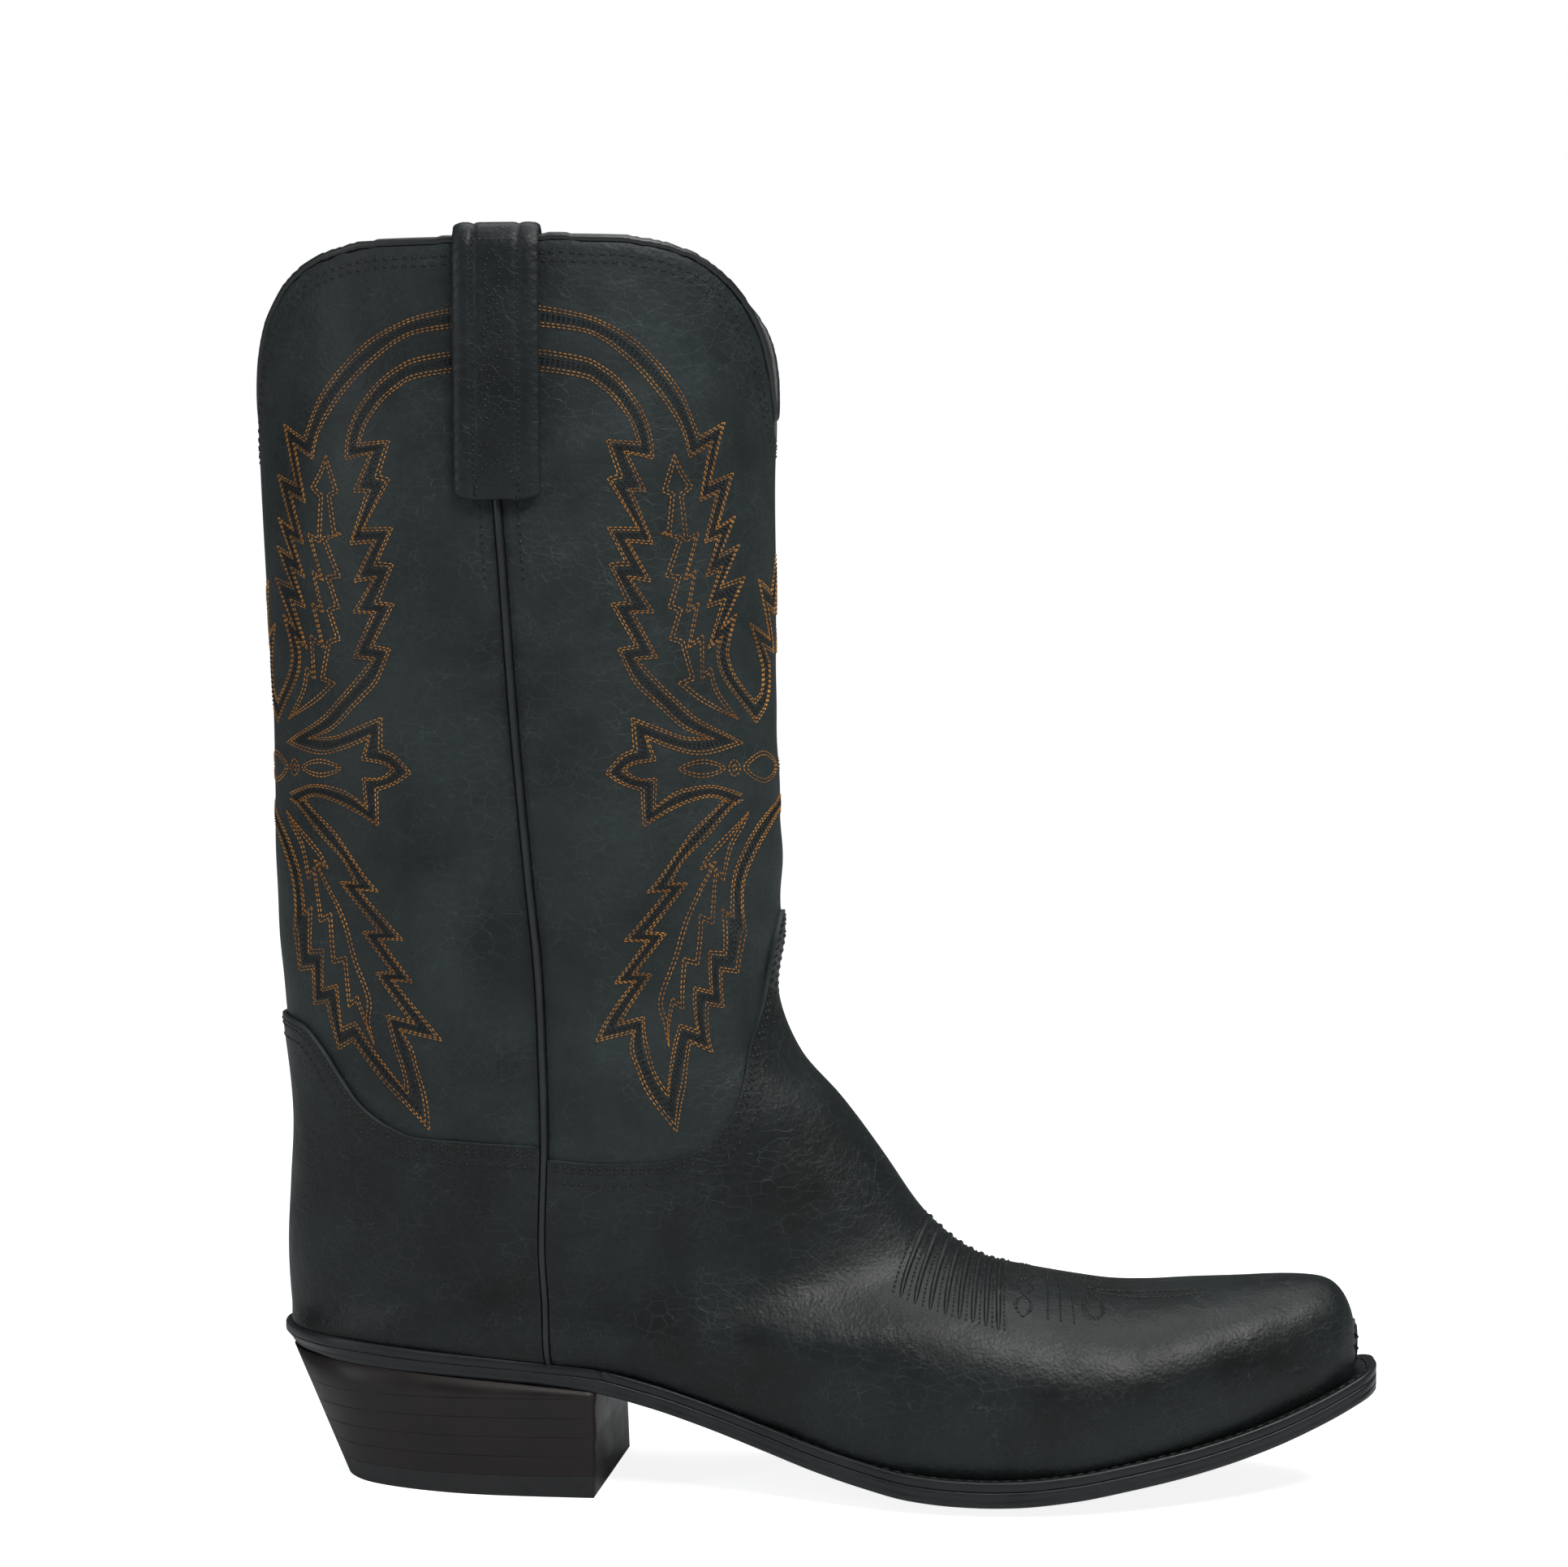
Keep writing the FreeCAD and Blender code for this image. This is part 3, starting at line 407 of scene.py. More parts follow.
# ---------------------------------------------------------------- materials
class Shade:
    """A material whose nodes are added one by one."""

    def __init__(self, name, roughness=0.5, **sockets):
        self.mat = bpy.data.materials.new(name)
        self.mat.use_nodes = True
        self.tree = self.mat.node_tree
        self.surface = self.tree.nodes["Principled BSDF"]
        self.set("Roughness", roughness)
        for socket, value in sockets.items():
            self.set(socket.replace("_", " "), value)
        self.place = self.tree.nodes.new("ShaderNodeTexCoord").outputs["Object"]

    def feed(self, target, value):
        """Links another node's output to a socket, or sets the socket's own value."""
        if isinstance(value, bpy.types.NodeSocket):
            self.tree.links.new(value, target)
        else:
            target.default_value = value

    def set(self, socket, value):
        """Feeds a socket of the surface."""
        self.feed(self.surface.inputs[socket], value)

    def node(self, kind, inputs, output=0, **settings):
        """Adds a node and gives one of its outputs."""
        made = self.tree.nodes.new("ShaderNode" + kind)
        for key, value in settings.items():
            setattr(made, key, value)
        for key, value in inputs.items():
            self.feed(made.inputs[key], value)
        return made.outputs[output]

    def stretched(self, factors):
        """Places with their axes scaled, so that features turn longer or shorter along them."""
        return self.node("Mapping", {"Vector": self.place, "Scale": factors})

    def noise(self, size, detail=3.0, place=None, rough=0.55, distort=0.0):
        """Noise with features about `size` millimetres across, 0 to 1."""
        return self.node("TexNoise", {"Vector": place or self.place, "Scale": 1 / (size * MM),
                                      "Detail": detail, "Roughness": rough, "Distortion": distort})

    def cells(self, size, feature="DISTANCE_TO_EDGE", place=None):
        """Cells about `size` millimetres across."""
        return self.node("TexVoronoi", {"Vector": place or self.place, "Scale": 1 / (size * MM)},
                         feature=feature)

    def math(self, operation, a, b):
        return self.node("Math", {0: a, 1: b}, operation=operation)

    def ramp(self, value, low, high, out_low=0.0, out_high=1.0):
        """Stretches low..high to out_low..out_high and holds it there."""
        return self.node("MapRange", {"Value": value, "From Min": low, "From Max": high,
                                      "To Min": out_low, "To Max": out_high}, clamp=True)

    def mix(self, share, a, b):
        """Colour a turning into colour b; 6 and 7 are the colour sockets of the node."""
        return self.node("Mix", {0: share, 6: a, 7: b}, 2, data_type="RGBA")

    def bump(self, height, depth, under=None):
        """Relief `depth` millimetres deep, on top of another relief."""
        inputs = {"Height": height, "Distance": depth * MM, "Strength": 1.0}
        if under is not None:
            inputs["Normal"] = under
        return self.node("Bump", inputs)


def rgb(red, green, blue):
    """Colour from sRGB 0-255."""
    linear = [((c / 255 + 0.055) / 1.055) ** 2.4 if c > 10 else c / 255 / 12.92
              for c in (red, green, blue)]
    return (*linear, 1.0)


def crackle_lines(shade, size, place, width):
    """Thin lines of broken cells, 1 on a line."""
    sway = shade.node("TexNoise", {"Vector": place, "Scale": 1 / (size * 1.6 * MM),
                                   "Detail": 3.0}, 1)
    warp = shade.node("VectorMath", {0: sway, 1: (size * 1.1 * MM,) * 3, 2: place},
                      operation="MULTIPLY_ADD")
    edge = shade.cells(size, place=warp)
    return shade.ramp(edge, 0.0, width, 1.0, 0.0)


def upper_leather(name, dark, light, crease, sheen, pebble):
    """Waxed full-grain leather: blotches, pebble grain and pale broken creases."""
    shade = Shade(name, Specular_IOR_Level=0.28)
    blotch = shade.noise(34, 4.0, distort=0.4)
    fine = shade.noise(2.2, 5.0)
    tone = shade.mix(shade.ramp(blotch, 0.32, 0.68), dark, light)
    tone = shade.mix(shade.ramp(fine, 0.3, 0.75, 0.0, 0.35), tone, dark)
    flat = shade.stretched((1.0, 1.0, 1.7))
    large = crackle_lines(shade, 6.0, flat, 0.016)
    small = crackle_lines(shade, 2.4, shade.place, 0.028)
    shown = shade.ramp(shade.noise(16, 3.0), 0.38, 0.66)
    lines = shade.math("MULTIPLY", large, shown)
    hair = shade.math("MULTIPLY", small, shade.ramp(shade.noise(11, 3.0), 0.42, 0.62))
    marks = shade.math("MAXIMUM", lines, shade.math("MULTIPLY", hair, 0.55))
    shade.set("Base Color", shade.mix(shade.math("MULTIPLY", marks, crease), tone, rgb(84, 94, 95)))
    shine = shade.ramp(shade.noise(22, 4.0), 0.3, 0.7, sheen - 0.05, sheen + 0.07)
    shade.set("Roughness", shade.math("ADD", shine, shade.math("MULTIPLY", marks, 0.1)))
    grain = shade.cells(pebble, "SMOOTH_F1")
    relief = shade.bump(shade.ramp(grain, 0.0, 0.9), 0.09)
    relief = shade.bump(fine, 0.10, relief)
    relief = shade.bump(marks, 0.05, relief)
    shade.set("Normal", shade.bump(shade.noise(12, 2.0), 0.5, relief))
    return shade.mat


def plain_leather(name, dark, light, roughness, size=3.0, depth=0.08):
    """Leather, board or wood with blotches and a fine grain."""
    shade = Shade(name)
    tone = shade.mix(shade.ramp(shade.noise(size * 5, 5.0), 0.3, 0.7), dark, light)
    grain = shade.noise(size * 0.35, 4.0)
    shade.set("Base Color", shade.mix(shade.ramp(grain, 0.35, 0.7, 0.0, 0.4), tone, dark))
    shade.set("Roughness", shade.ramp(shade.noise(size * 3), 0.3, 0.7,
                                      roughness - 0.06, roughness + 0.08))
    shade.set("Normal", shade.bump(grain, depth))
    return shade.mat


def dyed_edge(name, dark, light, roughness, stretch, depth=0.06):
    """Burnished edge of sole leather: fibres run along the layers."""
    shade = Shade(name, Specular_IOR_Level=0.35, Coat_Weight=0.08, Coat_Roughness=0.3)
    fibres = shade.noise(1.2, 5.0, place=shade.stretched(stretch))
    blotch = shade.noise(14, 4.0)
    tone = shade.mix(shade.ramp(blotch, 0.3, 0.7), dark, light)
    shade.set("Base Color", shade.mix(shade.ramp(fibres, 0.4, 0.8, 0.0, 0.5), tone, light))
    shade.set("Roughness", shade.ramp(blotch, 0.3, 0.7, roughness - 0.07, roughness + 0.1))
    shade.set("Normal", shade.bump(fibres, depth))
    return shade.mat


def thread(name, dark, light):
    """Waxed thread, with the twist of its plies."""
    shade = Shade(name, 0.5)
    twist = shade.node("TexWave", {"Vector": shade.place, "Scale": 900.0, "Distortion": 3.0})
    tone = shade.mix(shade.ramp(shade.noise(9, 3.0), 0.35, 0.65), dark, light)
    shade.set("Base Color", shade.mix(shade.math("MULTIPLY", twist, 0.35), tone, dark))
    shade.set("Normal", shade.bump(twist, 0.05))
    return shade.mat


# Arguments of upper_leather after its two colours: crease, sheen, pebble.
SHAFT_LEATHER = upper_leather("shaft_leather", rgb(21, 27, 28), rgb(42, 50, 51), 0.42, 0.47, 1.0)
FOOT_LEATHER = upper_leather("foot_leather", rgb(13, 16, 17), rgb(30, 36, 36), 0.4, 0.43, 0.9)
STRAP_LEATHER = upper_leather("strap_leather", rgb(19, 24, 26), rgb(32, 39, 42), 0.12, 0.42, 0.9)
EDGE_PAINT = plain_leather("edge_paint", rgb(34, 40, 43), rgb(58, 66, 69), 0.5)
BINDING = plain_leather("binding_leather", rgb(16, 19, 21), rgb(30, 35, 38), 0.42)
LINING_LEATHER = plain_leather("lining_leather", rgb(92, 88, 82), rgb(112, 107, 100), 0.62, 4.0)
SOLE_EDGE = dyed_edge("sole_edge", rgb(15, 17, 19), rgb(31, 35, 38), 0.40, (0.25, 0.25, 2.0))
WELT_LEATHER = dyed_edge("welt_leather", rgb(14, 16, 18), rgb(29, 33, 36), 0.42, (0.25, 0.25, 2.0))
HEEL_STACK = dyed_edge("heel_stack", rgb(15, 10, 10), rgb(28, 20, 20), 0.44, (0.2, 0.2, 3.0), 0.04)
CAP_RUBBER = dyed_edge("cap_rubber", rgb(20, 20, 22), rgb(38, 38, 40), 0.48, (0.6, 0.6, 1.0))
THREAD_BROWN = thread("thread_brown", rgb(138, 86, 30), rgb(200, 138, 54))
THREAD_BLACK = thread("thread_black", rgb(8, 8, 9), rgb(19, 19, 21))
# Near-black marks for the pull straps' holes, darker than the black thread: painted shade inside the
# holes.
STRAP_HOLE_SHADE = thread("strap_hole_shade", rgb(3, 3, 4), rgb(8, 8, 9))


# ---------------------------------------------------------------- the upper
def wrinkle(points):
    """Slow swelling of the leather, more where the ankle bends."""
    z, x = points[..., 2], points[..., 0]
    ankle = np.exp(-((z - 150) / 60) ** 2)
    foot = np.clip((120 - z) / 40, 0, 1)
    slow = soft_noise(points, 46.0, 3)
    folds = np.sin(points @ np.array([0.05, 0.02, 0.26]) + 2.2 * soft_noise(points, 60.0, 5))
    front = np.exp(-((x + 18) / 26) ** 2)
    return 0.42 * slow * (1 - 0.6 * foot) + 0.30 * ankle * folds * (0.35 + front)


def panel(points, normals, depth=1.0):
    """A grid of points on the body with the leather's swelling added."""
    return points + normals * (wrinkle(points) * depth)[..., None], normals


SHAFT_STATIONS = 12.0    # the shaft panels lie between the first station and this one


def shaft_half(side, start, rim, low_line, grow, rows=110, columns=56):
    """One side of a shaft panel, from its pole (start 1 front, -1 back) to the side seam."""
    v_table = np.linspace(0.0, SHAFT_STATIONS, 240)
    at_seam = leaves(lambda x, y, z: start * (x - seam_x(z)) - SEAM_CLEAR, v_table, side, grow, start)
    share = np.linspace(0.0, 1.0, columns)[None, :]

    def across(v):
        """Share of the section at each station, from the pole to the seam."""
        return start + (np.interp(v, v_table, at_seam) - start) * share

    v = np.linspace(0.0, SHAFT_STATIONS, 900)[:, None]
    points, _ = skin(v, across(v), side, grow)
    below_rim = points[..., 2] < curve(points[..., 0], rim)
    above_low = points[..., 2] > curve(points[..., 0], low_line) - UNDERLAP
    top = v[np.argmax(below_rim, axis=0), 0]
    bottom = v[len(v) - 1 - np.argmax(above_low[::-1], axis=0), 0]
    v = top[None, :] + (bottom - top)[None, :] * np.linspace(0.0, 1.0, rows)[:, None]
    return panel(*skin(v, across(v), side, grow))


PANELS = (("front", 1, RIM_FRONT, VAMP_TOP), ("back", -1, RIM_BACK, COUNTER_TOP))


def build_shaft():
    """Panels and linings of the shaft. Returns the panels' outer faces by pole."""
    faces = {}
    for name, start, rim, low_line in PANELS:
        outside = [shaft_half(side, start, rim, low_line, 0.0) for side in (-1, 1)]
        shaft = sheet("shaft_%s_leather" % name, outside, SHAFT_LEATHER, LEATHER)
        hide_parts("shaft_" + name)
        faces[start] = Face(outside)
        inside = [shaft_half(side, start, rim, low_line, -FOOT_GROW, 60, 32) for side in (-1, 1)]
        lining = sheet("lining_%s_leather" % name, inside, LINING_LEATHER, LINING)
        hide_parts("shaft_lining_" + name)
    return faces


def above_welt(x, y, z):
    """Positive above the upper face of the welt and the rand."""
    return z - sole_level(np.stack([x, y], -1), WELT + WELT_ROOM)


def vamp_region(x, y, z):
    """Positive on the vamp: below its top line, in front of the side seam and above the welt."""
    below_top = curve(x, VAMP_TOP) - z
    return np.minimum(np.minimum(below_top, x - seam_x(z) - SEAM_CLEAR), above_welt(x, y, z))


def counter_region(x, y, z):
    """Positive on the counter cover, behind the side seam."""
    below_top = curve(x, COUNTER_TOP) - z
    return np.minimum(np.minimum(below_top, seam_x(z) - SEAM_CLEAR - x), above_welt(x, y, z))


def first_inside(region, start, grow, v_from, v_to):
    """First station on a pole line that is inside a region."""
    v = np.linspace(v_from, v_to, 2000)
    points, _ = skin(v, np.full(len(v), float(start)), -1, grow)
    return v[np.argmax(region(*np.moveaxis(points, -1, 0)) > 0)]


FOOT_SWELL = 0.6         # the foot's leather is lasted tight and swells less than the shaft's
TONGUE_END_X = -26.0     # behind this the vamp's top line runs along the side of the boot
SEAM_HEAD_X = -72.9      # where the top line meets the piping


CLEAR_STATION = 16.5     # from here on the sections lie wholly in front of the side seam


def vamp_half(side, rows=200, columns=60):
    """Rows run from the top of the foot to the panel's edge: tongue line, seam, then welt."""
    tip = first_inside(vamp_region, 1, FOOT_GROW, 4.0, 9.0)
    v = np.concatenate([np.linspace(tip, CLEAR_STATION, 700),
                        np.linspace(CLEAR_STATION, LAST + 1.0, 500)[1:]])
    a = leaves(vamp_region, v, side, FOOT_GROW, 1)
    points, _ = skin(v, a, side, FOOT_GROW)
    on_seam = np.abs(points[:, 0] - seam_x(points[:, 2])) < SEAM_CLEAR + 0.25
    first, last = int(np.argmax(on_seam)), len(v) - 1 - int(np.argmax(on_seam[::-1]))
    turn = int(np.argmax(points[:, 0] < TONGUE_END_X))
    line_x = np.linspace(TONGUE_END_X, SEAM_HEAD_X, 160)[1:]
    down_z = np.linspace(curve(SEAM_HEAD_X, VAMP_TOP), points[first, 2], 40)[1:]
    side_x = np.concatenate([line_x, seam_x(down_z) + SEAM_CLEAR])
    side_z = np.concatenate([curve(line_x, VAMP_TOP), down_z])
    side_v, side_a = side_station(side_x, side_z, side, FOOT_GROW)
    v = np.concatenate([v[:turn], side_v, v[first + 1:]])
    a = np.concatenate([a[:turn], side_a, a[first + 1:]])
    seam_top = turn + len(line_x) - 1
    seam_low = turn + len(side_v) + last - first - 1
    points, _ = skin(v, a, side, FOOT_GROW)
    travelled = travel(points)
    wanted = np.linspace(0.0, travelled[-1], rows)
    edge_v = np.interp(wanted, travelled, v)[:, None]
    edge_a = np.interp(wanted, travelled, a)[:, None]
    corners = travelled[[0, seam_top, seam_low, -1]]
    top_v = np.interp(wanted, corners, [tip, 12.0, 15.5, LAST + 1.0])[:, None]
    share = np.linspace(0.0, 1.0, columns)[None, :]
    grid_v = top_v + (edge_v - top_v) * share
    grid_a = 1.0 + (edge_a - 1.0) * share
    return panel(*skin(grid_v, grid_a, side, FOOT_GROW), depth=FOOT_SWELL)


def counter_half(side, rows=120, columns=60):
    """Rows run from the back of the heel, then the welt, to the top line, then the seam."""
    tip = first_inside(counter_region, -1, FOOT_GROW, 4.0, 9.0)
    v = np.linspace(tip, CLEAR_STATION, 900)
    seam = leaves(lambda x, y, z: seam_x(z) - SEAM_CLEAR - x, v, side, FOOT_GROW, -1)
    top = leaves(lambda x, y, z: curve(x, COUNTER_TOP) - z, v, side, FOOT_GROW, -1)
    front = np.minimum(seam, top)
    points, _ = skin(v, front, side, FOOT_GROW)
    above = points[:, 2] > sole_level(points, WELT)
    count = len(v) if above.all() else int(np.argmin(above))
    v, front = v[:count], front[:count]
    back = leaves(lambda x, y, z: -above_welt(x, y, z), v, side, FOOT_GROW, -1)

    def spread(a):
        """An edge's stations and shares at even distances along it."""
        places, _ = skin(v, a, side, FOOT_GROW)
        travelled = travel(places)
        wanted = np.linspace(0.0, travelled[-1], rows)
        return [np.interp(wanted, travelled, row)[:, None] for row in (v, a)]

    edge_v, edge_a = spread(front)
    back_v, back_a = spread(back)
    share = np.linspace(0.0, 1.0, columns)[None, :]
    grid_v = back_v + (edge_v - back_v) * share
    grid_a = back_a + (edge_a - back_a) * share
    return panel(*skin(grid_v, grid_a, side, FOOT_GROW), depth=FOOT_SWELL)


def build_foot():
    """Vamp and counter cover. Returns the grids of their two sides."""
    foot = {"vamp": [vamp_half(-1), vamp_half(1)], "counter": [counter_half(-1), counter_half(1)]}
    for name, node in (("vamp", "vamp"), ("counter", "counter_cover")):
        piece = sheet(name + "_leather", foot[name], FOOT_LEATHER, LEATHER)
        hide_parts(node)
    return foot


def side_station(x, z, side, grow):
    """Station and share, v and a, of places at x, z on the side of the boot, clear of its poles.

    Newton steps bring the bare body to x, z; then the aim moves by what growing it shifted.
    """
    x, z = np.asarray(x, float), np.asarray(z, float)
    v = np.interp(-z, -FAN[:9, 1], np.arange(9.0))
    a = np.zeros_like(v)
    want_x, want_z = x.copy(), z.copy()
    for _ in range(2):
        for _ in range(30):
            here = body(v, a, side)
            step_v = body(v + 0.01, a, side) - here
            step_a = body(v, a + 0.005, side) - here
            ex, ez = want_x - here[..., 0], want_z - here[..., 2]
            det = step_v[..., 0] * step_a[..., 2] - step_v[..., 2] * step_a[..., 0]
            dv = (ex * step_a[..., 2] - ez * step_a[..., 0]) / det * 0.01
            da = (ez * step_v[..., 0] - ex * step_v[..., 2]) / det * 0.005
            v = np.clip(v + np.clip(dv, -1.0, 1.0) * 0.8, 0, LAST)
            a = np.clip(a + np.clip(da, -0.2, 0.2) * 0.8, -0.999, 0.999)
        grown, _ = skin(v, a, side, grow)
        want_x = want_x + x - grown[..., 0]
        want_z = want_z + z - grown[..., 2]
    return v, a


def at_side(x, z, side, grow):
    """Points of the body at x, z, and the outward normals there."""
    return skin(*side_station(x, z, side, grow), side, grow)


def build_piping():
    """Corded piping down each side seam, from the rim to the welt."""
    for name, side in (("outer", -1), ("inner", 1)):
        z = np.linspace(SEAM_TOP, PIPING_FOOT, 240)
        centre, normal = panel(*at_side(seam_x(z), z, side, 0.0))
        across = np.cross(direction(centre), normal)
        rings = [centre + across * (PIPING / 2 * math.cos(k)) + normal * (0.2 + 1.6 * math.sin(k))
                 for k in np.linspace(0, math.pi, 9)]
        rings += [centre + across * (s * PIPING / 2) - normal * 1.2 for s in (-1, 1)]
        piece = tube("piping_" + name, [np.stack(rings, 1)], BINDING)
        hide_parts("side_piping_" + name)


def rim_line(side, start, rim, low_line, grow):
    """The top edge of one side of a shaft panel, and its outward normals."""
    points, normals = shaft_half(side, start, rim, low_line, grow, 3, 90)
    return points[0], normals[0]


def both_sides(outer, inner):
    """One line and its normals from the outer side's end, over the pole, to the inner side's."""
    return [np.concatenate([o[::-1], i[1:]]) for o, i in zip(outer, inner)]


def build_rim():
    """Rolled binding on the rim of each panel, from seam to seam."""
    for name, *outline in PANELS:
        line, out = both_sides(*(rim_line(side, *outline, -0.7) for side in (-1, 1)))
        up = np.cross(direction(line), out)
        up *= np.sign(up[:, 2:3] + 1e-9)
        centre = line + up * 1.1 - out * 0.45
        rings = [centre + out * (1.35 * math.cos(angle)) + up * (1.25 * math.sin(angle))
                 for angle in 2 * math.pi * np.arange(12) / 12]
        piece = tube("rim_binding_" + name, [np.stack(rings, 1)], BINDING)
        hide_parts("rim_bead_" + name)


# ---------------------------------------------------------------- the bottom
def sole_ring(count=170):
    """Plan points round the sole, and normals: heel, outer side, toe and back along the inner."""
    outline = [(x, -half) for x, half in OUTER_EDGE]
    outline += [(x, half) for x, half in INNER_EDGE[::-1][1:-1]]
    steps = 60
    dense = spline(outline, steps, closed=True)
    toe = (len(OUTER_EDGE) - 1) * steps
    outer, inner = dense[:toe + 1], np.concatenate([dense[toe:], dense[:1]])[::-1]
    theta = np.linspace(0, math.pi, count)
    x = (TOE_X + HEEL_X) / 2 - (TOE_X - HEEL_X) / 2 * np.cos(theta)
    sides = []
    for half in (outer, inner):
        order = np.argsort(half[:, 0])
        sides.append(np.stack([x, np.interp(x, half[order, 0], half[order, 1])], 1))
    ring = np.concatenate([sides[0], sides[1][::-1][1:-1]])
    ring[0, 1] = ring[count - 1, 1] = 0.0
    along = np.roll(ring, -1, 0) - np.roll(ring, 1, 0)
    return ring, unit(np.stack([along[:, 1], -along[:, 0]], 1))


RING, RING_NORMAL = sole_ring()


def lifted(plan, extra):
    """Plan points at a level above the outsole's upper face."""
    return np.concatenate([plan, sole_level(plan, extra)[:, None]], 1)


HEEL_DRAFT = (1.6, 3.6)  # how far the sole's lower edge comes in at the sides and at the back
RAND_DRAFT = 0.05        # share of it that the rand and the sole's upper edge take


def heel_draft(ring):
    """The sole's edge leans in over the heel, so that sole and heel make one line."""
    x = ring[:, 0]
    fade = np.clip((BREAST_X + 4.0 - x) / 22.0, 0.0, 1.0)
    back = np.clip((HEEL_X + 26.0 - x) / 26.0, 0.0, 1.0)
    return (fade * (HEEL_DRAFT[0] + (HEEL_DRAFT[1] - HEEL_DRAFT[0]) * back))[:, None]


def build_outsole():
    """Leather outsole: a dished plate with a rounded, burnished edge and a line in its middle."""
    thick = curve(RING[:, 0], OUTSOLE)
    draft = heel_draft(RING)

    def plate(share, extra, low):
        """A ring inside the outline, on the lower or the upper face."""
        return lifted((RING - RING_NORMAL * draft * low) * np.array([1.0, share]), extra)

    def edge(inset, extra, low):
        """A ring of the edge; `low` is how much of the heel's draft it takes."""
        return lifted(RING - RING_NORMAL * (inset + draft * low), extra)

    shares = [0.0, 0.12, 0.3, 0.5, 0.68, 0.82, 0.92]
    rows = [plate(share, -thick, 1.0) for share in shares]
    rows += [edge(1.8, -thick, 1.0), edge(0.7, -thick + 0.1, 1.0), edge(0.2, -thick + 0.45, 0.9),
             edge(0.0, -thick + 1.1, 0.85), edge(0.0, -thick * 0.52 - 0.12, 0.62),
             edge(0.16, -thick * 0.5, 0.6), edge(0.0, -thick * 0.48 + 0.12, 0.58),
             edge(0.0, -0.35, 0.2), edge(0.22, -0.05, RAND_DRAFT), edge(0.9, 0.0, RAND_DRAFT)]
    rows += [plate(share, 0.0, RAND_DRAFT) for share in shares[::-1]]
    piece = mesh_object("outsole_leather", to_frame(np.concatenate(rows)),
                        grid_faces(len(rows), len(RING), closed=True), [SOLE_EDGE])
    weld(piece)
    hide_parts("outsole")


def strip_profile(width, height):
    """Section of the welt or rand, as inset and height, with the stitch groove in its top."""
    return [(width, 0.05), (0.35, 0.05), (0.05, 0.3), (0.0, height * 0.35), (0.0, height - 0.7),
            (0.25, height - 0.2), (0.75, height), (1.6, height), (2.0, height - 0.22),
            (2.9, height - 0.22), (3.3, height), (width, height)]


def edge_strip(name, keep, width, node):
    """Welt or rand: a strip with its profile swept along part of the sole's edge."""
    order = np.nonzero(keep)[0]
    gap = np.nonzero(np.diff(order) > 1)[0]
    if len(gap):
        order = np.concatenate([order[gap[0] + 1:], order[:gap[0] + 1]])
    if node == "heel_rand":
        order = np.concatenate([[order[0] - 1], order, [order[-1] + 1]]) % len(RING)
    draft = heel_draft(RING[order]) * RAND_DRAFT
    rings = [lifted(RING[order] - RING_NORMAL[order] * (inset + draft), extra)
             for inset, extra in strip_profile(width, WELT)]
    piece = tube(name, [np.stack(rings, 1)], WELT_LEATHER)
    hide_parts(node)


def build_welt():
    """The welt in front of the heel's breast and the rand round the heel."""
    forward = RING[:, 0] > BREAST_X
    edge_strip("welt_leather", forward, WELT_WIDTH, "welt")
    edge_strip("heel_rand_leather", ~forward, RAND_WIDTH, "heel_rand")


def heel_outlines():
    """Plans of the heel at the ground and at HEEL_TOP_Z, both from the outer side to the inner."""
    ground = [(x, -y) for x, y in HEEL_BASE[::-1]] + HEEL_BASE[1:]
    sole = [(-50.0, -28.0)]
    for side, edge in ((-1, OUTER_EDGE[::-1]), (1, INNER_EDGE[1:])):
        sole += [(max(x, HEEL_X + HEEL_TOP_INSET), side * max(y - HEEL_TOP_INSET, 0))
                 for x, y in edge if x < -50]
    sole += [(-50.0, 26.0)]
    return [even_steps(spline(outline, 12), 400) for outline in (ground, sole)]


HEEL_GROUND, HEEL_SOLE = heel_outlines()


def heel_ring(z, grow, count=96):
    """Plan of the heel at a level, from the breast's outer corner round the back to its inner."""
    line = HEEL_GROUND + (HEEL_SOLE - HEEL_GROUND) * (z / HEEL_TOP_Z)
    behind = line[:, 0] <= BREAST_X - math.tan(BREAST_SKEW) * -line[:, 1]
    line = even_steps(line[behind], count)
    along = direction(line)
    out = np.stack([-along[:, 1], along[:, 0]], 1)
    if out[count // 2] @ (line[count // 2] - line.mean(0)) < 0:
        out = -out
    line = line + out * grow
    a, b = line[-1], line[0]
    breast = [a + (b - a) * k / 12 for k in range(1, 12)]
    return np.concatenate([line, breast])


ROOF_OVERLAP = 0.1       # how far the last lift reaches into the sole
THINNEST_LIFT = 0.3
LIFT_SHARES = (0.02, 0.5, 0.9)   # rings inside a lift's faces
LIFT_EDGE = 0.1          # rounding of its edges
LIFT_FACE = 0.4          # how far its flat faces stay inside its side
ROOF_Z = 40.0            # above the highest place where the last lift meets the sole


def drawn_in(plan, share):
    """A plan scaled about its middle."""
    centre = plan.mean(0)
    return centre + (plan - centre) * share


def heel_level(z, grow, share=1.0, foot_z=None):
    """Ring of the stack at a level. With the level of the last lift's foot given, it is held under
    the sloping sole and takes the plan of the height that it comes to."""
    plan = drawn_in(heel_ring(z, grow), share)
    if foot_z is None:
        return np.concatenate([plan, np.full((len(plan), 1), z)], 1)
    under_sole = sole_level(plan, ROOF_OVERLAP) - curve(plan[:, 0], OUTSOLE)
    heights = np.maximum(under_sole, foot_z + THINNEST_LIFT)[:, None]
    foot = drawn_in(heel_ring(foot_z, grow), share)
    plan = foot + (plan - foot) * np.clip((heights - foot_z) / (z - foot_z), 0.0, 1.0)
    return np.concatenate([plan, heights], 1)


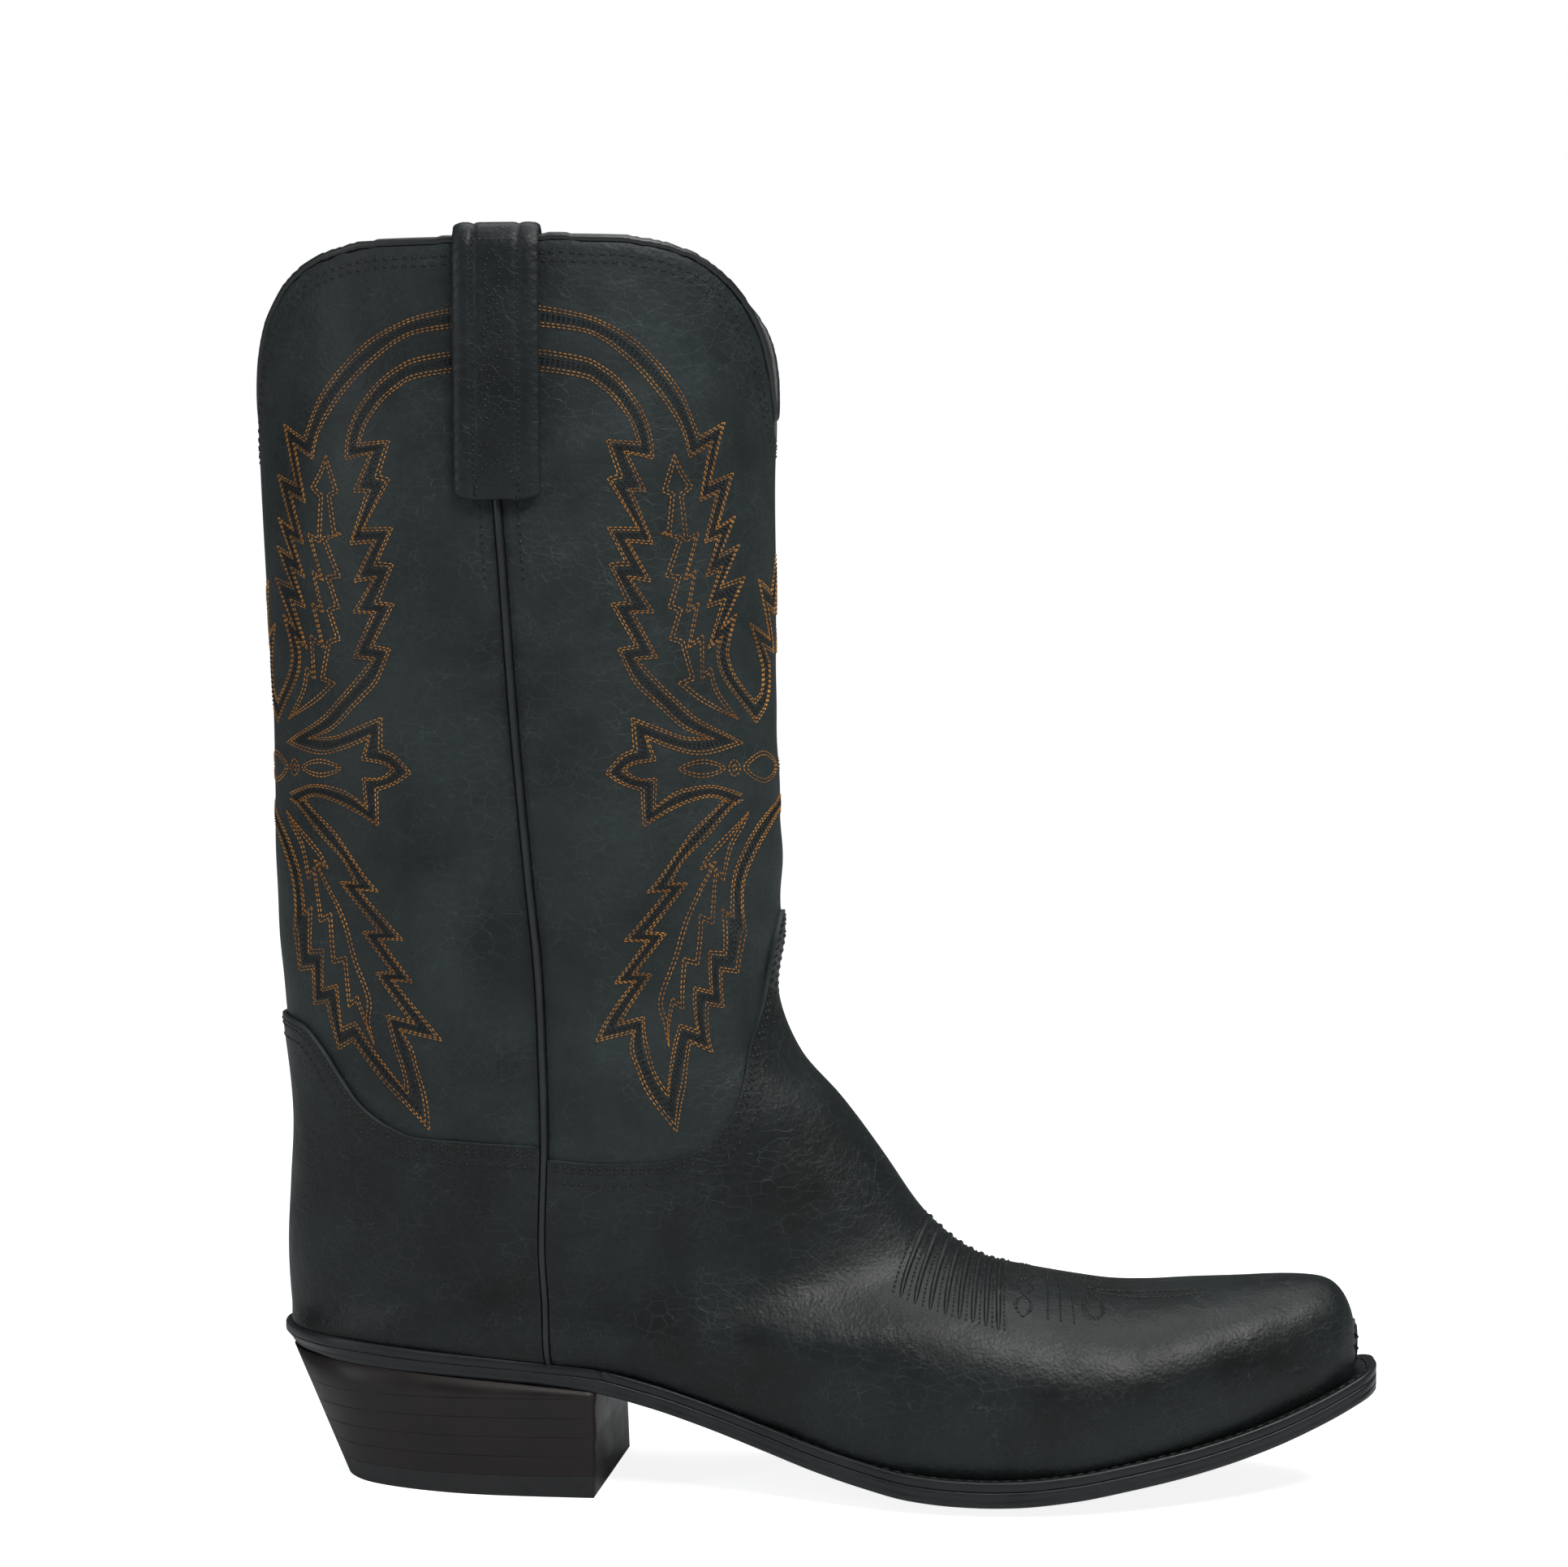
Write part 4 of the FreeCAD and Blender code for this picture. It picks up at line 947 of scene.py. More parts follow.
def build_heel():
    """Cap and lifts, each with softened edges, so that the stack's joints show as fine lines."""
    random = np.random.default_rng(11)
    levels = [0.0] + [CAP + LIFT * k for k in range(LIFTS)]
    for k, low in enumerate(levels):
        is_last = k == LIFTS
        top, foot_z = (ROOF_Z, low) if is_last else (levels[k + 1], None)
        proud = random.uniform(-0.02, 0.02)
        rings = [heel_level(low, proud - LIFT_FACE, share) for share in LIFT_SHARES]
        rings += [heel_level(low, proud - LIFT_EDGE), heel_level(low + LIFT_EDGE, proud),
                  heel_level(low + 2 * LIFT_EDGE, proud)]
        if not is_last:
            rings.append(heel_level((low + top) / 2, proud))
        for z, grow in ((top - 2 * LIFT_EDGE, 0.0), (top - LIFT_EDGE, 0.0), (top, LIFT_EDGE)):
            rings.append(heel_level(z, proud - grow, 1.0, foot_z))
        rings += [heel_level(top, proud - LIFT_FACE, share, foot_z) for share in LIFT_SHARES[::-1]]
        faces = grid_faces(len(rings), len(rings[0]), flip=True, closed=True)
        node = "heel_lift_%d" % k if k else "heel_cap"
        name, mat, slot = ((node + "_leather", HEEL_STACK, "heel_stack") if k else
                           ("heel_cap_rubber", CAP_RUBBER, "heel_cap"))
        piece = mesh_object(name, to_frame(np.concatenate(rings)), faces, [mat])
        weld(piece)
        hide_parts(node)


# ---------------------------------------------------------------- stitching
# The pattern on one half of a shaft panel. u is the distance round the shaft from the panel's centre
# line, z the height. A band lists its two edges side by side and is filled with rows between them.
OUTER_ARCH = [((102, 336), (102, 330)), ((90, 335), (89.5, 329.5)), ((76, 332.5), (76, 328)),
              ((69, 330), (69.5, 325.5)), ((62, 326.5), (63, 321)), ((56, 322), (57, 316)),
              ((50.5, 317), (51, 310)), ((45.5, 311.5), (46.5, 304.5)), ((42.5, 306.5), (43.5, 299.5)),
              ((39, 300), (42, 294)), ((31, 304.5), (35.5, 298)), ((35, 287.5), (38.5, 282)),
              ((27, 290.5), (33, 284.5)), ((32.5, 275), (37, 270.5)), ((26, 278.5), (32.5, 272)),
              ((31.5, 267.5), (36.5, 261)), ((24.5, 270.5), (32, 263)), ((31, 259), (36, 252.5)),
              ((22, 261.5), (31, 254)), ((30.5, 247.5), (35.5, 241)), ((25.5, 251), (31.5, 243.5)),
              ((28.5, 240.5), (32.5, 240)), ((26.5, 234.5), (31.5, 235)), ((22.5, 230), (27.5, 229.5)),
              ((18, 226.5), (17, 220)), ((14.5, 229), (11.5, 224.5)), ((13.5, 233.5), (8.5, 230)),
              ((14.5, 238), (8, 237)), ((20, 248.5), (12.5, 241.5)), ((8.5, 244), (3.5, 240)),
              ((16, 261), (10, 253)), ((7, 257.5), (2.5, 251)), ((0, 269), (0, 262))]
INNER_ARCH = [((102, 324), (102, 318)), ((88.5, 323), (88.5, 317.5)), ((75, 321), (74, 315.5)),
              ((70, 319), (69, 313)), ((64.5, 315.5), (64.5, 309.5)), ((60, 311), (61, 305.5)),
              ((56.5, 306.5), (59, 302.5)), ((53.5, 300), (58, 300)), ((52.5, 293.5), (57, 298)),
              ((60, 295), (66, 298.5)), ((54.5, 284.5), (62.5, 289)), ((58.5, 284.5), (65.5, 288)),
              ((52.5, 270), (57, 274.5)), ((59.5, 270.5), (65.5, 274.5)), ((53, 259.5), (60.5, 265)),
              ((59, 260.5), (65, 264.5)), ((52, 251), (60, 254)), ((58, 251), (64.5, 253.5)),
              ((51, 238.5), (57.5, 242)), ((57, 238), (62.5, 241)), ((54.5, 235.5), (58, 232)),
              ((50.5, 231.5), (54, 228)), ((45, 226.5), (50.5, 225)), ((38, 221), (43.5, 219)),
              ((23, 214.5), (35.5, 216))]
STAR = [((35.5, 216), (23, 214.5)), ((43.5, 216.5), (37, 211.5)), ((50.5, 219), (46, 213)),
        ((58.5, 222), (54, 216)), ((58, 213), (51.5, 210)), ((61.5, 211.5), (58, 209)),
        ((66, 206.5), (60.5, 207.5)), ((61.5, 203.5), (57, 205)), ((56, 201.5), (51.5, 205)),
        ((55.5, 191.5), (52, 197)), ((48.5, 195.5), (46, 201)), ((41, 198.5), (39, 202.5)),
        ((34, 199.5), (33, 202.5)), ((27, 197), (23.5, 200))]
FLAME = [((31, 198.5), (23.5, 198.5)), ((33, 196.5), (28.5, 196)), ((41, 190), (37.5, 187.5)),
         ((46, 183.5), (43.5, 182)), ((50.5, 177), (46.5, 176.5)), ((54, 173), (47, 175.5)),
         ((48, 173.5), (42, 175.5)), ((59.5, 159.5), (52.5, 162)), ((53, 159.5), (47.5, 161.5)),
         ((60.5, 147.5), (55, 150.5)), ((55, 148), (50, 150)), ((65.5, 131), (57.5, 136.5)),
         ((54.5, 133.5), (51, 138)), ((56.5, 128.5), (51.5, 128)), ((56.5, 123.5), (52, 121.5)),
         ((57, 115.5), (51.5, 117)), ((57, 105), (51, 117)), ((51, 112), (47.5, 123)),
         ((45.5, 118.5), (44, 129.5)), ((39, 130), (41, 135.5)), ((33.5, 127), (36, 133.5)),
         ((32, 140.5), (37, 146)), ((27, 139.5), (31.5, 144.5)), ((28.5, 150), (34, 156)),
         ((22.5, 149), (29, 155.5)), ((22.5, 158.5), (31, 168)), ((22, 160.5), (28, 166)),
         ((23.5, 168), (27.5, 175.5)), ((22.5, 177.5), (26, 181)), ((17, 186), (21.5, 188)),
         ((7.5, 192.5), (13.5, 194)), ((0, 195), (0, 199.5))]
UPPER_LEAF = [(46.5, 295), (48, 290.5), (49.8, 284.5), (47.3, 283.5), (48.3, 273.5), (50.3, 273),
              (45, 271.5), (49, 261), (45.5, 260.5), (48, 252.5), (45, 251.5), (47.5, 243.5), (44, 242.5),
              (41, 233), (45, 231.5), (37, 226), (24.5, 221), (28.5, 225), (32.5, 230), (34.5, 236),
              (37, 234), (37, 245), (41, 242.5), (38.5, 254), (41.5, 252.5), (39.5, 263),
              (42.5, 261), (38.7, 273.5), (42.2, 272), (43.7, 283.5), (40.7, 286), (44, 290.5)]
LOWER_LEAF = [(21.5, 195), (30.5, 188.5), (36, 183.5), (38.5, 179), (34.5, 180.5), (42, 166),
              (44.5, 154), (47, 142.5), (45.5, 136), (45.5, 129), (42.5, 141.5), (39.5, 139.5),
              (40.5, 153), (36.5, 152), (37, 165), (33.5, 163.5), (33, 178), (30.5, 175.5),
              (28.5, 185), (23.5, 191.5)]
OVALS = [[(45, 207.5), (37.5, 210), (30, 207.5), (37.5, 205)],
         [(29, 207.5), (26.8, 210), (24.6, 207.5), (26.8, 205)],
         [(23.5, 207.5), (14, 212), (4, 207.5), (14, 203)]]
BAND_ROWS = [(0.0, "brown"), (0.17, "brown"), (0.37, "black"), (0.5, "black"), (0.63, "black"),
             (0.83, "brown"), (1.0, "brown")]
LEAF_ROWS = [(0.0, "brown"), (1.0, "brown")]     # millimetres inside the outline
ROW_PITCH = 1.45
STITCH_SIZE = {"brown": (0.46, 0.32), "black": (0.7, 0.36)}     # width, height
BACK_STRETCH = 1.05      # the back panel is a little wider than the front one


def runs_between_corners(points, closed=False, sharp=42.0):
    """Splits an outline at its sharp corners and smooths each run."""
    p = np.array(points, float)
    if closed:
        p = np.concatenate([p, p[:1]])
    step = unit(np.diff(p, axis=0))
    turn = np.degrees(np.arccos(np.clip((step[1:] * step[:-1]).sum(1), -1, 1)))
    cuts = [0] + [k + 1 for k in np.nonzero(turn > sharp)[0]] + [len(p) - 1]
    runs = []
    for a, b in zip(cuts, cuts[1:]):
        run = p[a:b + 1]
        runs.append(spline(run, 6) if len(run) > 2 else run)
    return runs


class PanelMap:
    """Finds the place on one half of a shaft panel from u and z."""

    U_STEP = 1.0
    Z_STEP = 1.5

    def __init__(self, side, start):
        self.side = side
        v = np.linspace(0.0, 11.0, 221)
        a = np.linspace(start, -start * 0.6, 240)
        points, _ = skin(v[:, None], a[None, :], side)
        around = travel(points)
        self.u = np.arange(0.0, 112.0, self.U_STEP)
        self.z = np.arange(88.0, 350.0, self.Z_STEP)
        a_of_u = np.array([np.interp(self.u, row, a) for row in around])
        z_of_u = np.array([np.interp(self.u, row, z) for row, z in zip(around, points[..., 2])])
        self.v_table = np.array([np.interp(-self.z, -z_of_u[:, k], v) for k in range(len(self.u))])
        self.a_table = np.array([np.interp(self.v_table[k], v, a_of_u[:, k])
                                 for k in range(len(self.u))])

    def place(self, uz):
        """Points on the panel and the normals there."""
        i = np.clip((uz[:, 0] - self.u[0]) / self.U_STEP, 0, len(self.u) - 1.001)
        j = np.clip((uz[:, 1] - self.z[0]) / self.Z_STEP, 0, len(self.z) - 1.001)
        i0, j0 = i.astype(int), j.astype(int)
        fi, fj = i - i0, j - j0

        def look(table):
            return ((table[i0, j0] * (1 - fi) + table[i0 + 1, j0] * fi) * (1 - fj)
                    + (table[i0, j0 + 1] * (1 - fi) + table[i0 + 1, j0 + 1] * fi) * fj)

        return panel(*skin(look(self.v_table), look(self.a_table), self.side))


def cut_stitches(line, pitch, share):
    """Start and end points of the stitches along a line."""
    count = max(int(round(travel(line)[-1] / pitch)), 1)
    places = even_steps(line, count + 1)
    return places[:-1], places[:-1] + (places[1:] - places[:-1]) * share


STITCH_SINK = 0.12       # how deep a stitch's underside lies in the leather


def stitch_mesh(name, groups, mat, width, height):
    """Every stitch is a small closed spindle that lies on the leather, its underside in it."""
    starts, ends, normals = (np.concatenate([group[k] for group in groups]) for k in range(3))
    along = ends - starts
    across = unit(np.cross(normals, along))
    sink = normals * -STITCH_SINK
    corners = [starts + sink]
    for share in (0.2, 0.8):
        here = starts + along * share
        corners += [here - across * width / 2 + sink, here + normals * height,
                    here + across * width / 2 + sink]
    corners.append(ends + sink)
    verts = np.stack(corners, 1)
    pattern = [(0, 2, 1), (0, 3, 2), (0, 1, 3), (1, 2, 5, 4), (2, 3, 6, 5), (3, 1, 4, 6), (7, 4, 5),
               (7, 5, 6), (7, 6, 4)]
    faces = []
    for k in range(len(verts)):
        faces += [tuple(8 * k + j for j in face) for face in pattern]
    return mesh_object(name, to_frame(verts.reshape(-1, 3)), faces, [mat])


def mapped(shape, run, pitch=ROW_PITCH, share=0.8):
    """Stitches along a run of places on a PanelMap, a Strap or a ToeMap."""
    start, end = cut_stitches(run, pitch, share)
    a, normal = shape.place(start)
    b, _ = shape.place(end)
    return a, b, normal


def inset_outline(points, distance):
    """A closed outline moved inwards."""
    p = np.array(points, float)
    before, after = p - np.roll(p, 1, 0), np.roll(p, -1, 0) - p
    total = sum(unit(np.stack([-step[:, 1], step[:, 0]], 1)) for step in (before, after))
    size = (total ** 2).sum(1, keepdims=True)
    area = (p[:, 0] * np.roll(p[:, 1], -1) - np.roll(p[:, 0], -1) * p[:, 1]).sum()
    miter = total * np.minimum(2 / np.maximum(size, 0.5), 2.0)
    return p + math.copysign(1.0, area) * distance * miter


def build_shaft_stitching():
    """The pattern on both halves of both shaft panels."""
    rows = {"brown": [], "black": []}
    for side in (-1, 1):
        for start in (1, -1):
            shape = PanelMap(side, start)
            stretch = np.array([1.0 if start > 0 else BACK_STRETCH, 1.0])
            for band in (OUTER_ARCH, INNER_ARCH, STAR, FLAME):
                pairs = np.array(band, float)
                for share, colour in BAND_ROWS:
                    line = pairs[:, 0] * (1 - share) + pairs[:, 1] * share
                    for run in runs_between_corners(line * stretch):
                        rows[colour].append(mapped(shape, run))
            for leaf in (UPPER_LEAF, LOWER_LEAF):
                for inset, colour in LEAF_ROWS:
                    for run in runs_between_corners(inset_outline(leaf, inset) * stretch, True):
                        rows[colour].append(mapped(shape, run))
            for oval in OVALS:
                for inset in (0.0, 0.9):
                    ring = spline(inset_outline(np.array(oval) * stretch, inset), 8, closed=True)
                    rows["brown"].append(mapped(shape, np.concatenate([ring, ring[:1]])))
    for colour, mat in (("brown", THREAD_BROWN), ("black", THREAD_BLACK)):
        stitch_mesh("shaft_stitching_" + colour, rows[colour], mat, *STITCH_SIZE[colour])


class Face:
    """The outer face of a panel, for putting lines of stitches on it."""

    def __init__(self, halves):
        verts, faces = [], []
        for points, _ in halves:
            faces += grid_faces(*points.shape[:2], start=len(verts))
            verts += points.reshape(-1, 3).tolist()
        self.tree = BVHTree.FromPolygons(verts, faces)

    def near(self, points, like):
        """Nearest places, with their normals turned to the side of `like`."""
        found = [self.tree.find_nearest(p) for p in points.tolist()]
        places = np.array([f[0] for f in found])
        normals = np.array([f[1] for f in found])
        turned = np.sign((normals * like).sum(1, keepdims=True))
        return places, normals * np.where(turned == 0, 1, turned)

    def row(self, line, out, pitch, share):
        """Stitches along a line of points close to the face."""
        start, end = cut_stitches(line, pitch, share)
        like = even_steps(out, len(start) + 1)[:-1]
        a, normal = self.near(start, like)
        b, _ = self.near(end, like)
        return a, b, normal


def lower_side(line, out, distance, at):
    """A line moved sideways on the surface, to the side that lies lower at its point `at`."""
    step = np.cross(out, direction(line)) * distance
    return line + step if step[at, 2] < 0 else line - step


RIM_ROWS = (3.3, 5.5)            # rows of stitches below the rim
EDGE_ROWS = (1.3, 2.6, 6.0)      # rows inside the top line of the vamp and of the counter
EDGE_PITCH = 2.4
EDGE_SHARE = 0.66
RIM_PITCH = 2.8
RIM_SHARE = 0.62
SEAM_ROWS = ((1, 5.6), (-1, -5.0))       # short rows under the strap: panel, distance from seam


def build_edge_stitching(shaft_faces, foot):
    """Black rows along the rims, the vamp's and the counter's top lines and beside the seams."""
    groups = []
    for _, *outline in PANELS:
        line, out = both_sides(*(rim_line(side, *outline, 0.0) for side in (-1, 1)))
        for distance in RIM_ROWS:
            moved = lower_side(line, out, distance, len(line) // 4)
            groups.append(shaft_faces[outline[0]].row(moved, out, RIM_PITCH, RIM_SHARE))
    for halves in foot.values():
        face = Face(halves)
        edges = []
        for points, normals in halves:
            line, out = points[:, -1], normals[:, -1]
            on_seam = np.abs(line[:, 0] - seam_x(line[:, 2])) < SEAM_CLEAR + 0.3
            count = int(np.argmax(on_seam))
            edges.append((line[:count], out[:count]))
        line, out = both_sides(*edges)
        for distance in EDGE_ROWS:
            moved = lower_side(line, out, distance, len(line) // 6)
            groups.append(face.row(moved, out, EDGE_PITCH, EDGE_SHARE))
    z = np.linspace(283.0, 259.0, 20)
    for side in (-1, 1):
        for start, away in SEAM_ROWS:
            line, out = at_side(seam_x(z) + away, z, side, 0.0)
            groups.append(shaft_faces[start].row(line, out, EDGE_PITCH, EDGE_SHARE))
    stitch_mesh("edge_stitching", groups, THREAD_BLACK, 0.95, 0.32)


# ---------------------------------------------------------------- pull straps
STRAP_ROWS = (-6.3, 6.3)         # rows of holes along the strap, from its middle
STRAP_HOLES = 1.7                # from hole to hole
STRAP_BARS = (5.5, 61.0)         # rows across it, down from the top of its loop
STRAP_OVALS = ((8, 21.5, 2.0), (21.5, 25.5, 1.7), (25.5, 38.5, 2.4), (38.5, 43, 1.8), (43, 57, 2.2))
STRAP_CORNER = 2.6
STRAP_BEND = 0.0034              # it bends round the shaft: sag over width squared


def strap_path(side):
    """Middle line of the strap and its outward normals, from the outer leg's end over the rim."""
    top = STRAP_TOP - STRAP_THICK / 2
    wide = [float(body(v, 0.0, side)[1]) * side for v in (0.0, 1.0, 2.0, 2.4)]
    clear = PIPING_PROUD + STRAP_THICK / 2 + 0.4
    line = [(wide[3] + clear - 0.9, STRAP_OUTER_END), (wide[2] + clear, 298.0),
            (wide[1] + clear, 333.0), (wide[0] + clear - 0.4, top - 10.2), (wide[0] + 2.6, top - 4.0),
            (wide[0] - 0.7, top), (wide[0] - 4.2, top - 3.6), (wide[0] - 5.4, top - 10.2),
            (wide[1] - 5.6, 330.0), (wide[2] - 4.6, STRAP_INNER_END)]
    line = even_steps(spline(line, 10), 130)
    along = direction(line)
    out = np.stack([along[:, 1], -along[:, 0]], 1)
    path = np.stack([np.zeros(len(line)), side * line[:, 0], line[:, 1]], 1)
    normal = np.stack([np.zeros(len(line)), side * out[:, 0], out[:, 1]], 1)
    return path, normal


def strap_relief(x):
    """Height of the strap's face across its width: rolled edges, pressed rows, full middle."""
    share = np.abs(x) / (STRAP_WIDTH / 2)
    roll = np.sqrt(np.clip(1 - share ** 7, 0, 1))
    rows = np.exp(-((np.abs(x) - STRAP_ROWS[1]) / 0.7) ** 2)
    return STRAP_THICK / 2 * roll - 0.42 * rows + 0.16 * np.exp(-((np.abs(x) - 9.4) / 1.6) ** 2)


class Strap:
    """One pull strap: the line that it follows over the rim, and places on its face."""

    def __init__(self, side):
        self.side = side
        self.path, self.out = strap_path(side)
        self.travelled = travel(self.path)
        self.top = self.travelled[int(np.argmax(self.path[:, 2]))]

    def rings(self):
        """Rings round the strap's section, from end to end; its four corners are rounded."""
        x = np.sin(np.linspace(-math.pi / 2, math.pi / 2, 41)) * STRAP_WIDTH / 2
        from_end = np.minimum(self.travelled, self.travelled[-1] - self.travelled)
        cut = np.clip(STRAP_CORNER - from_end, 0, STRAP_CORNER)
        corner = STRAP_CORNER - np.sqrt(STRAP_CORNER ** 2 - cut ** 2)
        narrow = 1 - corner / (STRAP_WIDTH / 2)
        waves = np.sin(self.travelled[:, None] * 1.9 + x[None, :] * 0.2)
        pucker = 0.16 * waves * (np.abs(x) > 10.4)
        under = -STRAP_THICK / 2 * np.sqrt(1 - (x / 12.001) ** 8)
        grids = []
        for height in (strap_relief(x)[None, :] + pucker, under[None, :]):
            grid = self.path[:, None] + self.out[:, None] * height[..., None]
            grid[..., 0] += STRAP_X + x[None, :] * narrow[:, None]
            grid[..., 1] -= self.side * STRAP_BEND * x[None, :] ** 2
            grids.append(grid)
        return np.concatenate([grids[0], grids[1][:, ::-1]], axis=1)

    def place(self, spots):
        """Points on the strap's face: across its width, and down from the top of the loop."""
        across, down = spots[:, 0], spots[:, 1]
        s = np.clip(self.top - down, 0, self.travelled[-1])
        base, out = (np.stack([np.interp(s, self.travelled, line[:, k]) for k in range(3)], 1)
                     for line in (self.path, self.out))
        point = base + out * (strap_relief(across) + 0.02)[:, None]
        point[:, 0] += STRAP_X + across
        point[:, 1] -= self.side * STRAP_BEND * across ** 2
        return point, out


def strap_lines():
    """Rows of holes in a strap: a frame, a chain of ovals and the half-moon below the frame."""
    lines = [[(across, 4.0), (across, 74.0)] for across in STRAP_ROWS]
    lines += [[(STRAP_ROWS[0], down), (STRAP_ROWS[1], down)] for down in STRAP_BARS]
    turn = np.linspace(0, 2 * math.pi, 30)
    for low, high, wide in STRAP_OVALS:
        tall = (high - low) / 2
        across = -0.6 + wide * np.sin(turn) * np.abs(np.sin(turn)) ** 0.3
        lines.append(np.stack([across, low + tall - tall * np.cos(turn)], 1))
    arch = np.linspace(0, math.pi, 16)
    lines.append(np.stack([5.8 * np.cos(arch), 75.5 - 10.5 * np.sin(arch)], 1))
    return [np.array(line, float) for line in lines]


def build_straps():
    """The two pull straps, with their stitch holes drawn as near-black raised marks: painted shade of the
    holes.
    """
    holes = []
    for name, side in (("outer", -1), ("inner", 1)):
        strap = Strap(side)
        piece = tube("pull_strap_%s_leather" % name, [strap.rings()], STRAP_LEATHER)
        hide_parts("pull_strap_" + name)
        holes += [mapped(strap, line, STRAP_HOLES, 0.5) for line in strap_lines()]
    stitch_mesh("strap_hole_shade_marks", holes, STRAP_HOLE_SHADE, 1.15, 0.2)


# ---------------------------------------------------------------- toe medallion
RAY_DEPTH = 14.0         # how far inside the foot the rays that find its surface start
MEDALLION_MIDDLE = -11.0 # the medallion lies to the outer side of the top of the foot
CORDED = 9               # lines with a cord between each two
CORD_PITCH = 3.05
CORD_RADIUS = 0.85


class ToeMap:
    """Places on top of the foot from s, along it, and w, across it, both in millimetres."""

    S_STEP = 2.0

    def __init__(self, halves):
        tree = Face(halves).tree
        self.s = np.arange(28.0, 126.0, self.S_STEP)
        self.angle = np.radians(np.arange(-121.5, 122.0, 3.0))
        v = np.interp(self.s, FAN[10:24, 0], np.arange(10, 24))
        top, out = skin(v, np.full(len(v), 1.0), -1, FOOT_GROW)
        lean = np.interp(self.s, [30, 60, 90], [0.22, 0.06, -0.04])
        tilt = np.arctan2(out[:, 0], out[:, 2]) * 0.4 + lean
        up = np.stack([np.sin(tilt), 0 * v, np.cos(tilt)], 1)
        self.places = np.zeros((len(self.s), len(self.angle), 3))
        self.normals = np.zeros_like(self.places)
        for i in range(len(self.s)):
            centre = top[i] - up[i] * RAY_DEPTH
            for j, angle in enumerate(self.angle):
                way = up[i] * math.cos(angle) + np.array([0, 1.0, 0]) * math.sin(angle)
                hit, normal, _, _ = tree.ray_cast(centre.tolist(), way.tolist())
                if hit is None:
                    hit, normal = centre + way * 20, way
                normal = np.array(normal)
                self.places[i, j] = hit
                self.normals[i, j] = normal * np.sign(normal @ way)
        w = travel(self.places)
        self.w = w - w[:, len(self.angle) // 2][:, None]

    def place(self, sw):
        """Points on the foot and the normals there."""
        i = np.clip((sw[:, 0] - self.s[0]) / self.S_STEP, 0, len(self.s) - 1.001)
        rows = i.astype(int)
        share = (i - rows)[:, None]
        found = []
        for table in (self.places, self.normals):
            pair = []
            for extra in (0, 1):
                row = rows + extra
                j = np.array([np.interp(w, self.w[r], np.arange(len(self.angle)))
                              for w, r in zip(sw[:, 1] + MEDALLION_MIDDLE, row)])
                j = np.clip(j, 0, len(self.angle) - 1.001)
                j0 = j.astype(int)
                part = (j - j0)[:, None]
                pair.append(table[row, j0] * (1 - part) + table[row, j0 + 1] * part)
            found.append(pair[0] * (1 - share) + pair[1] * share)
        return found[0], found[1]


def bowed(s, bow, half):
    """A line across the foot at s, its ends bowed towards the toe."""
    t = np.linspace(-1, 1, 30)
    return np.stack([s + bow * t ** 2, half * t], 1)


def medallion_lines():
    """Outlines of the toe medallion: corded lines, two rows of ovals, loops and a pointed leaf."""
    lines = [bowed(31.0 + CORD_PITCH * k, 1.6, 24.0 + 0.25 * k) for k in range(CORDED)]
    lines += [bowed(s, 0.6, 19.0) for s in (67.5, 71.0, 74.6)]
    t = np.linspace(0, 1, 60)
    for phase in (0, math.pi):
        for swing in (2.6, 1.9):
            chain = 61.2 + swing * np.sin(4 * math.pi * t + phase)
            lines.append(np.stack([chain, -20 + 40 * t], 1))
    turn = np.linspace(0, 2 * math.pi, 40)
    lean = 0.28
    for side in (-1, 1):
        for inset in (0.0, 0.9):
            x = (3.6 - inset) * np.sin(turn) * np.abs(np.sin(turn / 2)) ** 0.5
            y = (7.6 - inset) * (1 - np.cos(turn))
            s = 79.5 + x * math.cos(lean) + y * math.sin(lean) * 0.35 + inset * 0.4
            w = 1.2 + inset + y * math.cos(lean) - x * math.sin(lean)
            lines.append(np.stack([s, side * w], 1))
    for inset in (0.0, 0.8):
        s = 80.5 + inset + (31.0 - inset) * (1 - np.cos(turn)) / 2
        w = (3.4 - inset) * np.sin(turn) * np.abs(np.cos(turn / 4)) ** 0.4
        lines.append(np.stack([s, w], 1))
    return lines


def cord(shape, line):
    """Half-round ridge of leather over a cord, along a line of the medallion."""
    places, normals = shape.place(even_steps(line, 60))
    across = np.cross(direction(places), normals)
    taper = np.sqrt(np.clip(1 - np.linspace(-1, 1, len(places)) ** 8, 0.02, 1))[:, None]
    rings = []
    for k in np.linspace(0, math.pi, 8):
        round_off = across * math.cos(k) + normals * (math.sin(k) * 0.8 - 0.15)
        rings.append(places + round_off * CORD_RADIUS * taper)
    rings += [places + across * (s * CORD_RADIUS * 0.6) - normals * 0.5 for s in (-1, 1)]
    return np.stack(rings, 1)


def build_medallion(vamp_halves):
    """Black stitches of the toe medallion, and the cords between its first lines."""
    shape = ToeMap(vamp_halves)
    lines = medallion_lines()
    groups = [mapped(shape, line, 1.6, 0.82) for line in lines]
    stitch_mesh("toe_stitching", groups, THREAD_BLACK, 0.8, 0.34)
    cords = [cord(shape, (a + b) / 2) for a, b in zip(lines[:CORDED], lines[1:CORDED])]
    tube("toe_cords", cords, FOOT_LEATHER)


GROOVE_INSET = 2.45      # middle of the welt's stitch groove, from its edge


